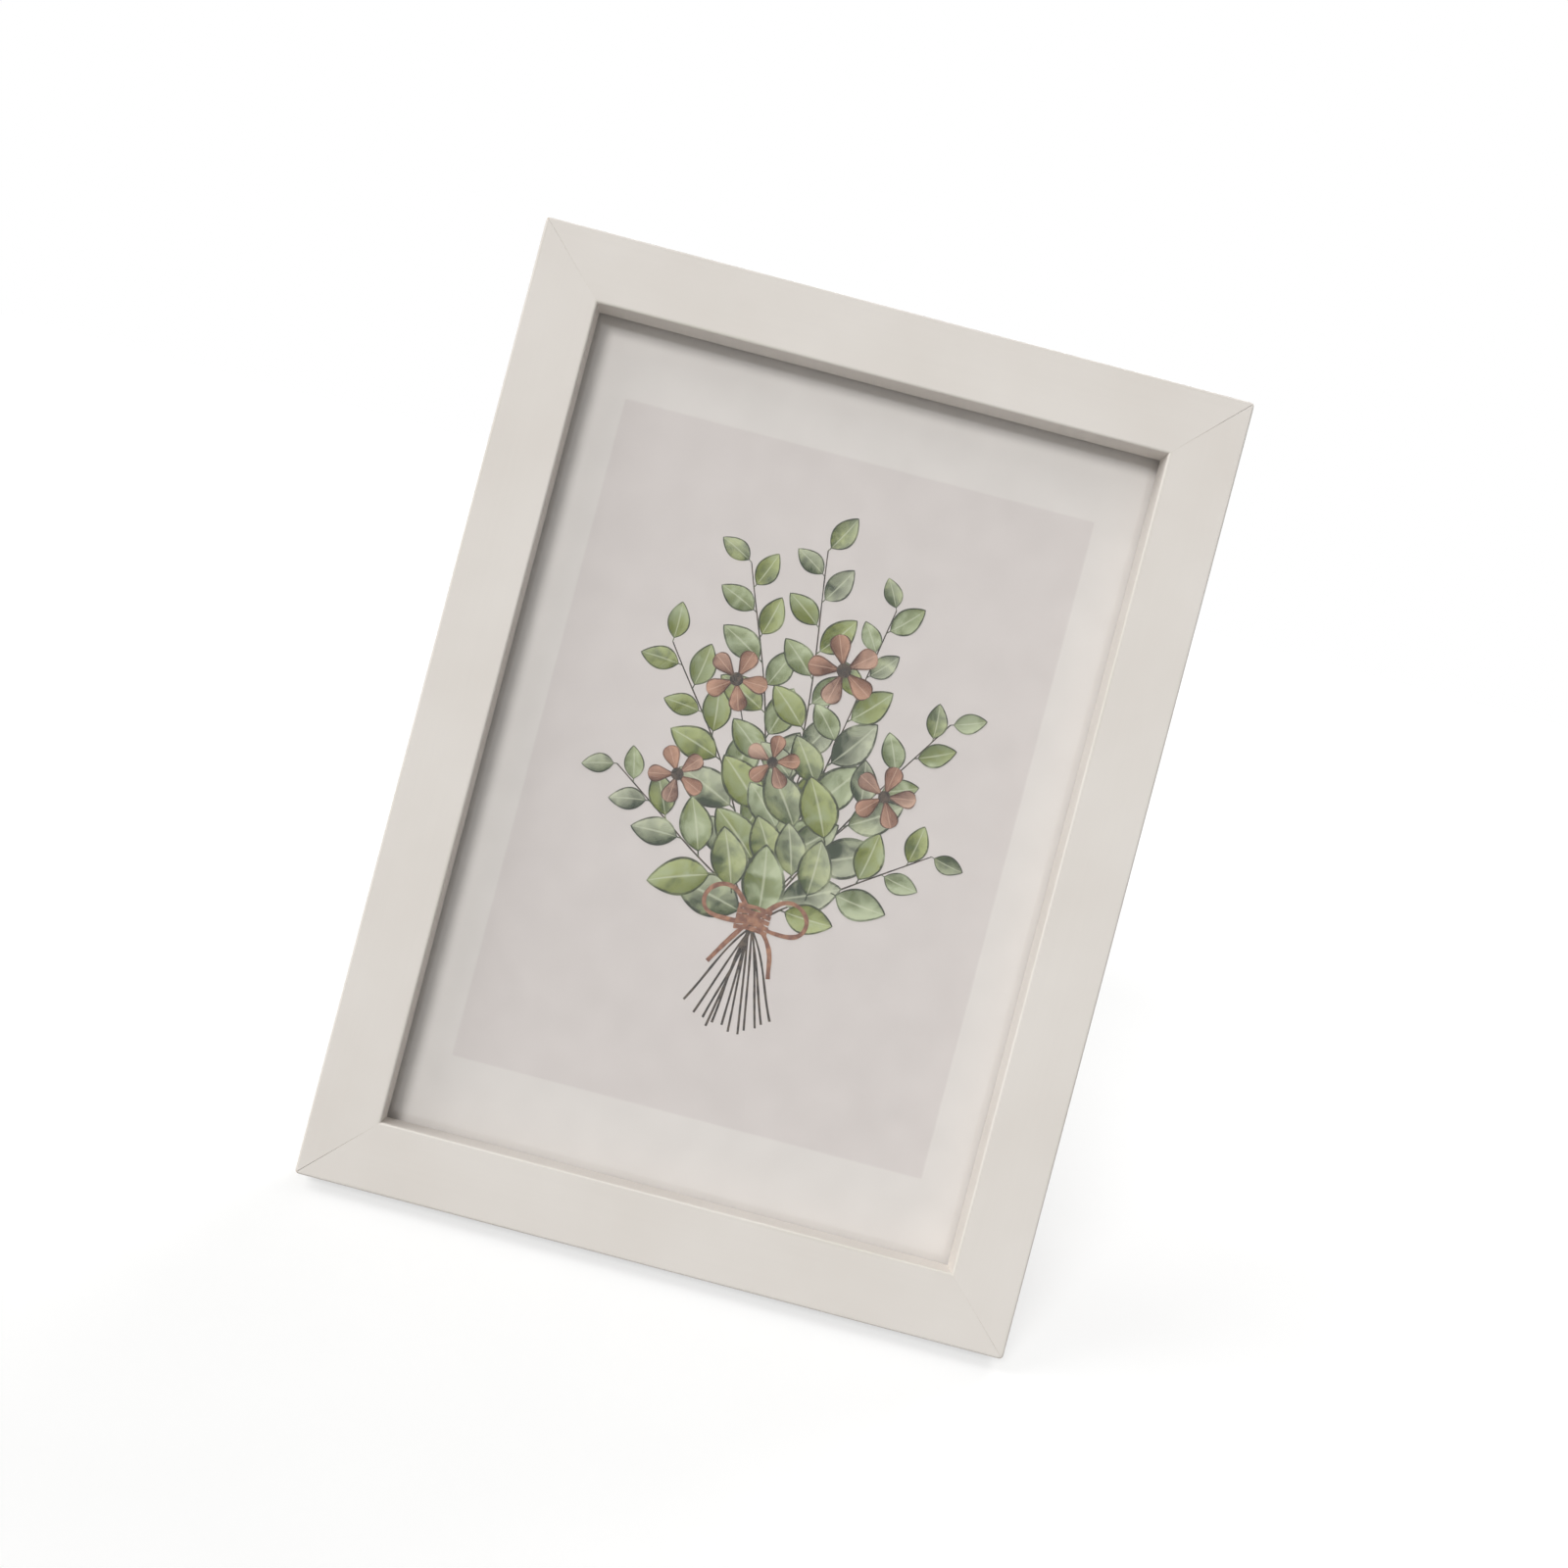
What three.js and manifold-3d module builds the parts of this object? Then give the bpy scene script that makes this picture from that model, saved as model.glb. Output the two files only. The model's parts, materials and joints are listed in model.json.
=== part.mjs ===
// A white wooden picture frame for an A4 sheet, standing on its easel strut. Millimetres, +Z up.
// The frame is built upright: x runs to the right as seen from the front, y from the face to the back,
// and z from the bottom edge to the top. It then leans back, until the arris between its back and its
// bottom edge stands on the plane z = 0 together with the foot of the strut.
import * as THREE from "three";
import { mergeVertices } from "three/addons/utils/BufferGeometryUtils.js";
import Module from "manifold-3d";

const wasm = await Module();
wasm.setup();

// The picture's sheet, and how the moulding holds it
const sheetWidth = 210;
const sheetHeight = 297;
const sheetCover = 5; // width of the sheet's edge that the front lip covers
const sheetRoom = 0.5; // between the sheets' edges and the walls of the rabbet

// Moulding
const faceWidth = 24;
const revealDepth = 12; // from the face to the back of the lip
const arrisRadius = 0.8;
const mitreGap = 0.3;

// Sheets in the rabbet, from the front
const glazingThickness = 1.5;
const printThickness = 0.3;
const fillerThickness = 2;
const backingThickness = 3;

// Between any two pieces that touch on the real frame
const gap = 0.3;

// V-nails across each mitre
const vNailLeg = 6;
const vNailThickness = 0.5;
const vNailDepth = 10;
const vNailEdge = 5; // from the edges of the moulding's back to the nearest leg

// Turn buttons and their screws
const buttonThickness = 1.2;
const buttonHeadRadius = 5;
const buttonTipRadius = 3.2;
const buttonGrip = 8; // reach of the tip over the backing board
const buttonSpacing = 124; // between the two buttons of a short rail
const screwRadius = 1.6;
const screwLength = 12;
const screwPoint = 2.5;
const screwHeadRadius = 3.3;
const screwHeadHeight = 2;
const screwRim = 0.7; // height of the head's straight rim, under its dome
const recessWidth = 0.9;
const recessLength = 3.4;
const recessDepth = 1;

// Easel strut and its hinge
const leanAngle = 15; // of the frame, from upright
const strutAngle = 26; // between the open strut and the back
const strutDrop = 100; // from the backing board's top edge down to the hinge's axis
const strutThickness = 3;
const strutHeadWidth = 50;
const strutFootWidth = 78;
const strutCorner = 7;
const strutTop = 4; // from the hinge's axis down to the strut's top edge
const strutFoldGap = 0.4; // between the folded strut and the backing board
const archWidth = 44;
const archHeight = 5;
const leafThickness = 0.8;
const leafWidth = 36;
const leafHeight = 16;
const leafCorner = 4;
const pinRadius = 1;
const pinHeadRadius = 1.7;
const pinHeadLength = 0.8;
const middleKnuckle = 12.8; // length of the leg leaf's knuckle
const tabWidth = 10;
const legLeafWidth = 30;
const legLeafLength = 20;
const shoulderRoom = 0.9; // between the back leaf's knuckles and the shoulders of the leg's leaf
const rivetRadius = 1.5;
const rivetHeadRadius = 2.7;
const rivetHeadHeight = 1.2;
const backRivetSpacing = 25;
const backRivetRise = 9; // above the hinge's axis
const legRivetSpacing = 16;
const legRivetDrop = 13; // below the hinge's axis

// Sawtooth hanger and its nails
const hangerLength = 45;
const hangerHeight = 9;
const hangerThickness = 1;
const hangerFoot = 9;
const hangerRamp = 3;
const hangerOffset = 1.8; // how far the toothed bridge stands off the rail
const toothPitch = 2.6;
const toothDepth = 2;
const toothCount = 7;
const nailRadius = 0.9;
const nailLength = 10;
const nailPoint = 1.8;
const nailHeadRadius = 2;
const nailHeadHeight = 0.8;
const nailInset = 4.5; // from the hanger's end to its nail

// Rubber bumpers
const bumperRadius = 5;
const bumperHeight = 2.5;
const bumperRim = 0.8;

// Facets of round shapes
const roundSegments = 24;
const arcSegments = 10;
const arrisSegments = 3;
const domeSegments = 4;

// Sizes that follow from those above
const lipWidth = sheetCover + sheetRoom;
const railBack = faceWidth - lipWidth;
const sightWidth = sheetWidth - 2 * sheetCover;
const sightHeight = sheetHeight - 2 * sheetCover;
const frameWidth = sightWidth + 2 * faceWidth;
const frameHeight = sightHeight + 2 * faceWidth;
const glazingFront = revealDepth + gap;
const printFront = glazingFront + glazingThickness + gap;
const fillerFront = printFront + printThickness + gap;
const backingFront = fillerFront + fillerThickness + gap;
const frameDepth = backingFront + backingThickness;
const buttonReach = railBack / 2 + sheetRoom + buttonGrip;
const screwSeat = gap + buttonThickness + gap; // from the moulding's back to the underside of the head
const knuckleBore = pinRadius + gap;
const knuckleRadius = knuckleBore + leafThickness;
const strutOuter = knuckleRadius - leafThickness - gap; // the strut's outer face, from the hinge's axis
const strutInner = strutOuter - strutThickness;
const hingeOffset = strutFoldGap - strutInner; // from the backing board to the hinge's axis
const hingeHeight = frameHeight - railBack - sheetRoom - strutDrop;
const lean = THREE.MathUtils.degToRad(leanAngle);
const opening = THREE.MathUtils.degToRad(strutAngle);
const strutSlope = opening - lean; // of the open strut, from upright
const hingeAltitude = hingeHeight * Math.cos(lean) - hingeOffset * Math.sin(lean);
const strutLength = hingeAltitude / Math.cos(strutSlope);
const beyond = 2; // how far a cutter runs past the surface that it opens

// Materials
function material(color, roughness, metalness = 0) {
  return new THREE.MeshStandardMaterial({ color, roughness, metalness });
}
const whiteFoil = material(0xe9e5df, 0.5);
const clearPlastic = material(0xf2f5f4, 0.1);
clearPlastic.transparent = true;
clearPlastic.opacity = 0.25;
const whitePaper = material(0xe6e2df, 0.85);
const greyCard = material(0xb9b2a6, 0.9);
const hardboard = material(0x8a6340, 0.75);
const zincSteel = material(0xb4b8bb, 0.4, 0.9);
const blackRubber = material(0x2c2b2a, 0.85);

// Turning a geometry into a solid that can be joined and cut, and back
function solid(geometry) {
  const bare = geometry.index ? geometry.toNonIndexed() : geometry.clone();
  bare.deleteAttribute("normal");
  bare.deleteAttribute("uv");
  const merged = mergeVertices(bare, 1e-4);
  return new wasm.Manifold(
    new wasm.Mesh({
      numProp: 3,
      vertProperties: merged.attributes.position.array,
      triVerts: new Uint32Array(merged.index.array),
    }),
  );
}

function geometryOf(body) {
  const mesh = body.getMesh();
  const geometry = new THREE.BufferGeometry();
  geometry.setAttribute("position", new THREE.BufferAttribute(mesh.vertProperties, 3));
  geometry.setIndex(new THREE.BufferAttribute(mesh.triVerts, 1));
  return geometry;
}

// The first shapes joined, less the others
function carve(joined, removed = []) {
  let body = solid(joined[0]);
  for (const shape of joined.slice(1)) body = body.add(solid(shape));
  for (const shape of removed) body = body.subtract(solid(shape));
  return geometryOf(body);
}

// A box between two corners
function block(from, to) {
  const low = new THREE.Vector3(...from);
  const high = new THREE.Vector3(...to);
  const size = high.clone().sub(low);
  const middle = low.clone().add(high).multiplyScalar(0.5);
  return new THREE.BoxGeometry(size.x, size.y, size.z).translate(middle.x, middle.y, middle.z);
}

// An outline drawn in x and z, as thick as it runs from y = front to y = back
function plate(outline, front, back) {
  const settings = { depth: back - front, bevelEnabled: false, curveSegments: arcSegments };
  return new THREE.ExtrudeGeometry(outline, settings).rotateX(Math.PI / 2).translate(0, back, 0);
}

// A round bar along y, at x and z
function barAlongY(radius, from, to, x = 0, z = 0) {
  const bar = new THREE.CylinderGeometry(radius, radius, to - from, roundSegments);
  return bar.translate(x, (from + to) / 2, z);
}

// A round bar along x, centred on the hinge's axis
function barAlongX(radius, from, to) {
  const bar = new THREE.CylinderGeometry(radius, radius, to - from, roundSegments);
  return bar.rotateZ(Math.PI / 2).translate((from + to) / 2, 0, 0);
}

// A turned shape whose profile is a list of [radius, y] points, from the lowest y to the highest
function turned(profile) {
  const points = profile.map(([radius, y]) => new THREE.Vector2(radius, y));
  return new THREE.LatheGeometry(points, roundSegments);
}

// The end of a turned profile that closes it with a dome, from its rim at y = base up to the axis
function dome(radius, base, height) {
  const points = [];
  for (let i = 0; i < domeSegments; i++) {
    const turn = ((Math.PI / 2) * i) / domeSegments;
    points.push([radius * Math.cos(turn), base + height * Math.sin(turn)]);
  }
  return [...points, [0, base + height]];
}

function named(name, geometry, finish, parent, place = [0, 0, 0]) {
  const mesh = new THREE.Mesh(geometry, finish);
  mesh.name = name;
  mesh.position.set(...place);
  parent.add(mesh);
  return mesh;
}

// The V-nail's outline near the corner at x = 0 and z = 0, with the moulding at negative x and positive z.
// Both legs start on the mitre, at the same distance from the two outer edges, and are parallel to them.
function vNailOutline(edge, room) {
  const half = vNailThickness / 2 + room;
  const reach = vNailLeg + room;
  const outline = new THREE.Shape();
  outline.moveTo(-edge + half, edge - half);
  outline.lineTo(-edge + half, edge + reach);
  outline.lineTo(-edge - half, edge + reach);
  outline.lineTo(-edge - half, edge + half);
  outline.lineTo(-edge - reach, edge + half);
  outline.lineTo(-edge - reach, edge - half);
  outline.closePath();
  return outline;
}

const vNailEdges = { outer: vNailEdge, inner: railBack - vNailEdge };

// The moulding's section, with its width from the outer edge along x and its depth along y
function mouldingSection() {
  const section = new THREE.Shape();
  section.moveTo(0, frameDepth);
  section.lineTo(0, arrisRadius);
  section.absarc(arrisRadius, arrisRadius, arrisRadius, Math.PI, 1.5 * Math.PI, false);
  section.lineTo(faceWidth - arrisRadius, 0);
  section.absarc(faceWidth - arrisRadius, arrisRadius, arrisRadius, 1.5 * Math.PI, 2 * Math.PI, false);
  section.lineTo(faceWidth, revealDepth);
  section.lineTo(railBack, revealDepth);
  section.lineTo(railBack, frameDepth);
  section.closePath();
  return section;
}

// A rail with its length along x, its outer edge on z = 0 and its width towards +z
function railGeometry(length, holes) {
  const settings = { depth: length, bevelEnabled: false, curveSegments: arrisSegments };
  const bar = new THREE.ExtrudeGeometry(mouldingSection(), settings)
    .rotateY(-Math.PI / 2)
    .translate(length / 2, 0, 0);
  const mitreAt = length / 2 - (mitreGap / 2) * Math.SQRT2;
  const cutters = [];
  for (const side of [-1, 1]) {
    const waste = 4 * faceWidth;
    const mitre = new THREE.BoxGeometry(waste, waste, waste)
      .translate((side * waste) / 2, 0, 0)
      .rotateY((-side * Math.PI) / 4)
      .translate(side * mitreAt, 0, 0);
    cutters.push(mitre);
    for (const edge of Object.values(vNailEdges)) {
      const slot = plate(vNailOutline(edge, gap), frameDepth - vNailDepth - gap, frameDepth + beyond);
      if (side < 0) slot.rotateY(Math.PI / 2);
      cutters.push(slot.translate((side * length) / 2, 0, 0));
    }
  }
  for (const { along, radius, depth } of holes) {
    const bottom = frameDepth - depth - gap;
    cutters.push(barAlongY(radius + gap, bottom, frameDepth + beyond, along, railBack / 2));
  }
  return carve([bar], cutters);
}

const frame = new THREE.Group();

// Four rails
const screwHole = (along) => ({ along, radius: screwRadius, depth: screwLength - screwSeat });
const nailHole = (along) => ({ along, radius: nailRadius, depth: nailLength - hangerThickness - 2 * gap });
const buttonHoles = [-buttonSpacing / 2, buttonSpacing / 2].map(screwHole);
const nailAlong = hangerLength / 2 - nailInset;
const rails = [
  { name: "rail_bottom", length: frameWidth, turn: 0, place: [0, 0, 0], holes: buttonHoles },
  {
    name: "rail_top",
    length: frameWidth,
    turn: Math.PI,
    place: [0, 0, frameHeight],
    holes: [...buttonHoles, nailHole(-nailAlong), nailHole(nailAlong)],
  },
  {
    name: "rail_left",
    length: frameHeight,
    turn: Math.PI / 2,
    place: [-frameWidth / 2, 0, frameHeight / 2],
    holes: [screwHole(0)],
  },
  {
    name: "rail_right",
    length: frameHeight,
    turn: -Math.PI / 2,
    place: [frameWidth / 2, 0, frameHeight / 2],
    holes: [screwHole(0)],
  },
];
for (const { name, length, turn, place, holes } of rails) {
  named(name, railGeometry(length, holes), whiteFoil, frame, place).rotation.y = turn;
}

// Two V-nails in each corner
const corners = [
  { name: "bottom_right", turn: 0, place: [frameWidth / 2, 0, 0] },
  { name: "bottom_left", turn: Math.PI / 2, place: [-frameWidth / 2, 0, 0] },
  { name: "top_left", turn: Math.PI, place: [-frameWidth / 2, 0, frameHeight] },
  { name: "top_right", turn: -Math.PI / 2, place: [frameWidth / 2, 0, frameHeight] },
];
for (const { name, turn, place } of corners) {
  for (const [row, edge] of Object.entries(vNailEdges)) {
    const nail = plate(vNailOutline(edge, 0), frameDepth - vNailDepth, frameDepth);
    named(`v_nail_${name}_${row}`, nail, zincSteel, frame, place).rotation.y = turn;
  }
}

// Sheets in the rabbet
function sheet(front, thickness) {
  const low = (frameHeight - sheetHeight) / 2;
  return block([-sheetWidth / 2, front, low], [sheetWidth / 2, front + thickness, low + sheetHeight]);
}
function rivetHole(from, to, along, height) {
  return barAlongY(rivetRadius + gap, from - beyond, to + beyond, along, height);
}
const backRivetHeight = hingeHeight + backRivetRise;
const backRivets = { left: -backRivetSpacing / 2, right: backRivetSpacing / 2 };
const backingHoles = Object.values(backRivets).map((along) =>
  rivetHole(backingFront, frameDepth, along, backRivetHeight),
);
named("glazing", sheet(glazingFront, glazingThickness), clearPlastic, frame);
named("print_sheet", sheet(printFront, printThickness), whitePaper, frame);
named("filler_card", sheet(fillerFront, fillerThickness), greyCard, frame);
named("backing_board", carve([sheet(backingFront, backingThickness)], backingHoles), hardboard, frame);

// Turn buttons, each a teardrop that points from its screw over the backing board
function buttonGeometry() {
  const distance = buttonReach - buttonTipRadius;
  const taper = Math.asin((buttonHeadRadius - buttonTipRadius) / distance);
  const outline = new THREE.Shape();
  outline.absarc(0, 0, buttonHeadRadius, Math.PI - taper, taper, false);
  outline.absarc(0, distance, buttonTipRadius, taper, Math.PI - taper, false);
  outline.closePath();
  const hole = barAlongY(screwRadius + gap, -beyond, buttonThickness + beyond);
  return carve([plate(outline, 0, buttonThickness)], [hole]);
}

function screwGeometry() {
  const body = turned([
    [0, -screwLength],
    [screwRadius, -screwLength + screwPoint],
    [screwRadius, 0],
    [screwHeadRadius, 0],
    ...dome(screwHeadRadius, screwRim, screwHeadHeight - screwRim),
  ]);
  const bottom = screwHeadHeight - recessDepth;
  const top = screwHeadHeight + beyond;
  const long = recessLength / 2;
  const narrow = recessWidth / 2;
  return carve([body], [
    block([-long, bottom, -narrow], [long, top, narrow]),
    block([-narrow, bottom, -long], [narrow, top, long]),
  ]);
}

const farSide = frameWidth / 2 - railBack / 2;
const buttons = [
  { name: "bottom_left", turn: 0, along: -buttonSpacing / 2, height: railBack / 2 },
  { name: "bottom_right", turn: 0, along: buttonSpacing / 2, height: railBack / 2 },
  { name: "top_left", turn: Math.PI, along: -buttonSpacing / 2, height: frameHeight - railBack / 2 },
  { name: "top_right", turn: Math.PI, along: buttonSpacing / 2, height: frameHeight - railBack / 2 },
  { name: "left", turn: Math.PI / 2, along: -farSide, height: frameHeight / 2 },
  { name: "right", turn: -Math.PI / 2, along: farSide, height: frameHeight / 2 },
];
const buttonShape = buttonGeometry();
const screwShape = screwGeometry();
for (const { name, turn, along, height } of buttons) {
  const seat = [along, frameDepth + gap, height];
  named(`turn_button_${name}`, buttonShape, zincSteel, frame, seat).rotation.y = turn;
  named(`button_screw_${name}`, screwShape, zincSteel, frame, [along, frameDepth + screwSeat, height]);
}

// The strut's hinge: everything in this group has the hinge's axis on y = 0 and z = 0
const hinge = new THREE.Group();
hinge.name = "hinge";
hinge.position.set(0, frameDepth + hingeOffset, hingeHeight);
frame.add(hinge);

// A rivet with its head at y = 0 and its tail flush with the far side of the board that it holds
function rivetGeometry(grip) {
  return turned([
    [0, -grip],
    [rivetRadius, -grip],
    [rivetRadius, 0],
    ...dome(rivetHeadRadius, 0, rivetHeadHeight),
  ]);
}

// The leaf on the back: a plate whose lower edge is rolled round the pin at both sides of the leg's knuckle
const leafFront = gap - hingeOffset;
const knuckleInner = middleKnuckle / 2 + gap;
const knuckleOuter = leafWidth / 2;
function backLeafGeometry() {
  const half = leafWidth / 2;
  const notch = knuckleRadius + gap;
  const outline = new THREE.Shape();
  outline.moveTo(-half, 0);
  outline.lineTo(-knuckleInner, 0);
  outline.lineTo(-knuckleInner, notch);
  outline.lineTo(knuckleInner, notch);
  outline.lineTo(knuckleInner, 0);
  outline.lineTo(half, 0);
  outline.absarc(half - leafCorner, leafHeight - leafCorner, leafCorner, 0, Math.PI / 2, false);
  outline.absarc(leafCorner - half, leafHeight - leafCorner, leafCorner, Math.PI / 2, Math.PI, false);
  outline.closePath();
  const joined = [plate(outline, leafFront, leafFront + leafThickness)];
  for (const side of [-1, 1]) {
    const ends = [side * knuckleInner, side * knuckleOuter].sort((a, b) => a - b);
    joined.push(barAlongX(knuckleRadius, ...ends));
    joined.push(block([ends[0], leafFront, 0], [ends[1], 0, knuckleRadius]));
  }
  const holes = Object.values(backRivets).map((along) =>
    rivetHole(leafFront, leafFront + leafThickness, along, backRivetRise),
  );
  return carve(joined, [barAlongX(knuckleBore, -half, half), ...holes]);
}
named("strut_leaf_back", backLeafGeometry(), zincSteel, hinge);
const backRivetSeat = leafFront + leafThickness + gap;
const backRivet = rivetGeometry(backRivetSeat + hingeOffset + backingThickness);
for (const [side, along] of Object.entries(backRivets)) {
  named(`rivet_back_${side}`, backRivet, zincSteel, hinge, [along, backRivetSeat, backRivetRise]);
}

// The pin, with a head upset on each end
function pinGeometry() {
  const end = knuckleOuter + gap;
  return turned([
    [0, -end - pinHeadLength],
    [pinHeadRadius, -end - pinHeadLength],
    [pinHeadRadius, -end],
    [pinRadius, -end],
    [pinRadius, end],
    [pinHeadRadius, end],
    [pinHeadRadius, end + pinHeadLength],
    [0, end + pinHeadLength],
  ]).rotateZ(Math.PI / 2);
}
named("strut_pin", pinGeometry(), zincSteel, hinge);

// The leg: this group turns on the hinge, and hangs parallel to the back when its angle is 0
const leg = new THREE.Group();
leg.name = "leg";
leg.rotation.x = opening;
hinge.add(leg);

// The leg's leaf runs on past the pin as a tab, which stops the open strut against the back's leaf
const legLeafInner = knuckleRadius - leafThickness;
const backLeafFace = leafFront + leafThickness + gap;
const tabLength = (legLeafInner * Math.cos(opening) - backLeafFace) / Math.sin(opening);
function legLeafGeometry() {
  const tab = tabWidth / 2;
  const neck = middleKnuckle / 2;
  const wide = legLeafWidth / 2;
  const shoulder = -knuckleRadius - shoulderRoom;
  const outline = new THREE.Shape();
  outline.moveTo(-tab, tabLength);
  outline.lineTo(-tab, 0);
  outline.lineTo(-neck, 0);
  outline.lineTo(-neck, shoulder);
  outline.lineTo(-wide, shoulder);
  const low = leafCorner - legLeafLength;
  outline.absarc(leafCorner - wide, low, leafCorner, Math.PI, 1.5 * Math.PI, false);
  outline.absarc(wide - leafCorner, low, leafCorner, 1.5 * Math.PI, 2 * Math.PI, false);
  outline.lineTo(wide, shoulder);
  outline.lineTo(neck, shoulder);
  outline.lineTo(neck, 0);
  outline.lineTo(tab, 0);
  outline.lineTo(tab, tabLength);
  outline.closePath();
  const joined = [plate(outline, legLeafInner, knuckleRadius), barAlongX(knuckleRadius, -neck, neck)];
  const holes = Object.values(legRivets).map((along) =>
    rivetHole(legLeafInner, knuckleRadius, along, -legRivetDrop),
  );
  return carve(joined, [barAlongX(knuckleBore, -wide, wide), ...holes]);
}
const legRivets = { left: -legRivetSpacing / 2, right: legRivetSpacing / 2 };
named("strut_leaf_leg", legLeafGeometry(), zincSteel, leg);

// The strut board widens to two feet, whose undersides are cut to lie flat on z = 0
function strutGeometry() {
  const head = strutHeadWidth / 2;
  const foot = strutFootWidth / 2;
  const arch = archWidth / 2;
  const below = -strutLength - strutThickness;
  const outline = new THREE.Shape();
  outline.moveTo(-foot, below);
  outline.lineTo(-arch, below);
  outline.lineTo(-arch, -strutLength);
  outline.quadraticCurveTo(0, 2 * archHeight - strutLength, arch, -strutLength);
  outline.lineTo(arch, below);
  outline.lineTo(foot, below);
  outline.lineTo(head, -strutTop - strutCorner);
  outline.quadraticCurveTo(head, -strutTop, head - strutCorner, -strutTop);
  outline.lineTo(strutCorner - head, -strutTop);
  outline.quadraticCurveTo(-head, -strutTop, -head, -strutTop - strutCorner);
  outline.closePath();
  const waste = 2 * strutFootWidth;
  const ground = new THREE.BoxGeometry(waste, waste, waste)
    .translate(0, 0, -waste / 2)
    .rotateX(-strutSlope)
    .translate(0, 0, -strutLength);
  const holes = Object.values(legRivets).map((along) =>
    rivetHole(strutInner, strutOuter, along, -legRivetDrop),
  );
  return carve([plate(outline, strutInner, strutOuter)], [ground, ...holes]);
}
named("strut_board", strutGeometry(), hardboard, leg);
const legRivetSeat = knuckleRadius + gap;
const legRivet = rivetGeometry(legRivetSeat - strutInner);
for (const [side, along] of Object.entries(legRivets)) {
  named(`rivet_leg_${side}`, legRivet, zincSteel, leg, [along, legRivetSeat, -legRivetDrop]);
}

// Sawtooth hanger: a strip with two feet on the rail and a bridge between them with a toothed lower edge
function hangerGeometry() {
  const end = hangerLength / 2;
  const heel = end - hangerFoot;
  const bridge = heel - hangerRamp;
  const section = new THREE.Shape();
  section.moveTo(-end, 0);
  section.lineTo(-heel, 0);
  section.lineTo(-bridge, hangerOffset);
  section.lineTo(bridge, hangerOffset);
  section.lineTo(heel, 0);
  section.lineTo(end, 0);
  section.lineTo(end, hangerThickness);
  section.lineTo(heel + hangerThickness / 2, hangerThickness);
  section.lineTo(bridge + hangerThickness / 2, hangerOffset + hangerThickness);
  section.lineTo(-bridge - hangerThickness / 2, hangerOffset + hangerThickness);
  section.lineTo(-heel - hangerThickness / 2, hangerThickness);
  section.lineTo(-end, hangerThickness);
  section.closePath();
  const settings = { depth: hangerHeight, bevelEnabled: false };
  const strip = new THREE.ExtrudeGeometry(section, settings).translate(0, 0, -hangerHeight / 2);
  const cutters = [-nailAlong, nailAlong].map((along) =>
    barAlongY(nailRadius + gap, -beyond, hangerThickness + beyond, along),
  );
  for (let i = 0; i < toothCount; i++) {
    const along = (i - (toothCount - 1) / 2) * toothPitch;
    const notch = new THREE.Shape();
    notch.moveTo(along - toothPitch / 2, -hangerHeight / 2 - gap);
    notch.lineTo(along + toothPitch / 2, -hangerHeight / 2 - gap);
    notch.lineTo(along, toothDepth - hangerHeight / 2);
    notch.closePath();
    cutters.push(plate(notch, hangerOffset - gap, hangerOffset + hangerThickness + gap));
  }
  return carve([strip], cutters);
}
const hangerPlace = [0, frameDepth + gap, frameHeight - railBack / 2];
named("hanger", hangerGeometry(), zincSteel, frame, hangerPlace);

const nailShape = turned([
  [0, -nailLength],
  [nailRadius, -nailLength + nailPoint],
  [nailRadius, 0],
  ...dome(nailHeadRadius, 0, nailHeadHeight),
]);
const nailSeat = frameDepth + gap + hangerThickness + gap;
named("hanger_nail_left", nailShape, zincSteel, frame, [-nailAlong, nailSeat, hangerPlace[2]]);
named("hanger_nail_right", nailShape, zincSteel, frame, [nailAlong, nailSeat, hangerPlace[2]]);

// Bumpers over the lower mitres
const bumperShape = turned([
  [0, 0],
  [bumperRadius, 0],
  ...dome(bumperRadius, bumperRim, bumperHeight - bumperRim),
]);
named("bumper_left", bumperShape, blackRubber, frame, [-farSide, frameDepth + gap, railBack / 2]);
named("bumper_right", bumperShape, blackRubber, frame, [farSide, frameDepth + gap, railBack / 2]);

// The frame leans back on the arris of its back and bottom edge, and its box is centred over the origin
frame.rotation.x = -lean;
frame.position.z = frameDepth * Math.sin(lean);
const pictureFrame = new THREE.Group();
pictureFrame.add(frame);
const box = new THREE.Box3().setFromObject(pictureFrame, true);
frame.position.y = -(box.min.y + box.max.y) / 2;

export default pictureFrame;
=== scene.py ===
# %% [markdown]
# # A white picture frame on its easel strut
# Four mitred rails of flat white moulding hold a clear plastic front, a printed sheet, a card and a hardboard
# back, and six turn buttons keep the stack in. A hinged strut lets the frame stand, and a sawtooth hanger
# lets it hang.
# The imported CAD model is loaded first. It says where every piece is, so nothing is fitted by eye.
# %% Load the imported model
import json
import math

import bmesh
import bpy
from mathutils import Matrix, Vector


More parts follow.
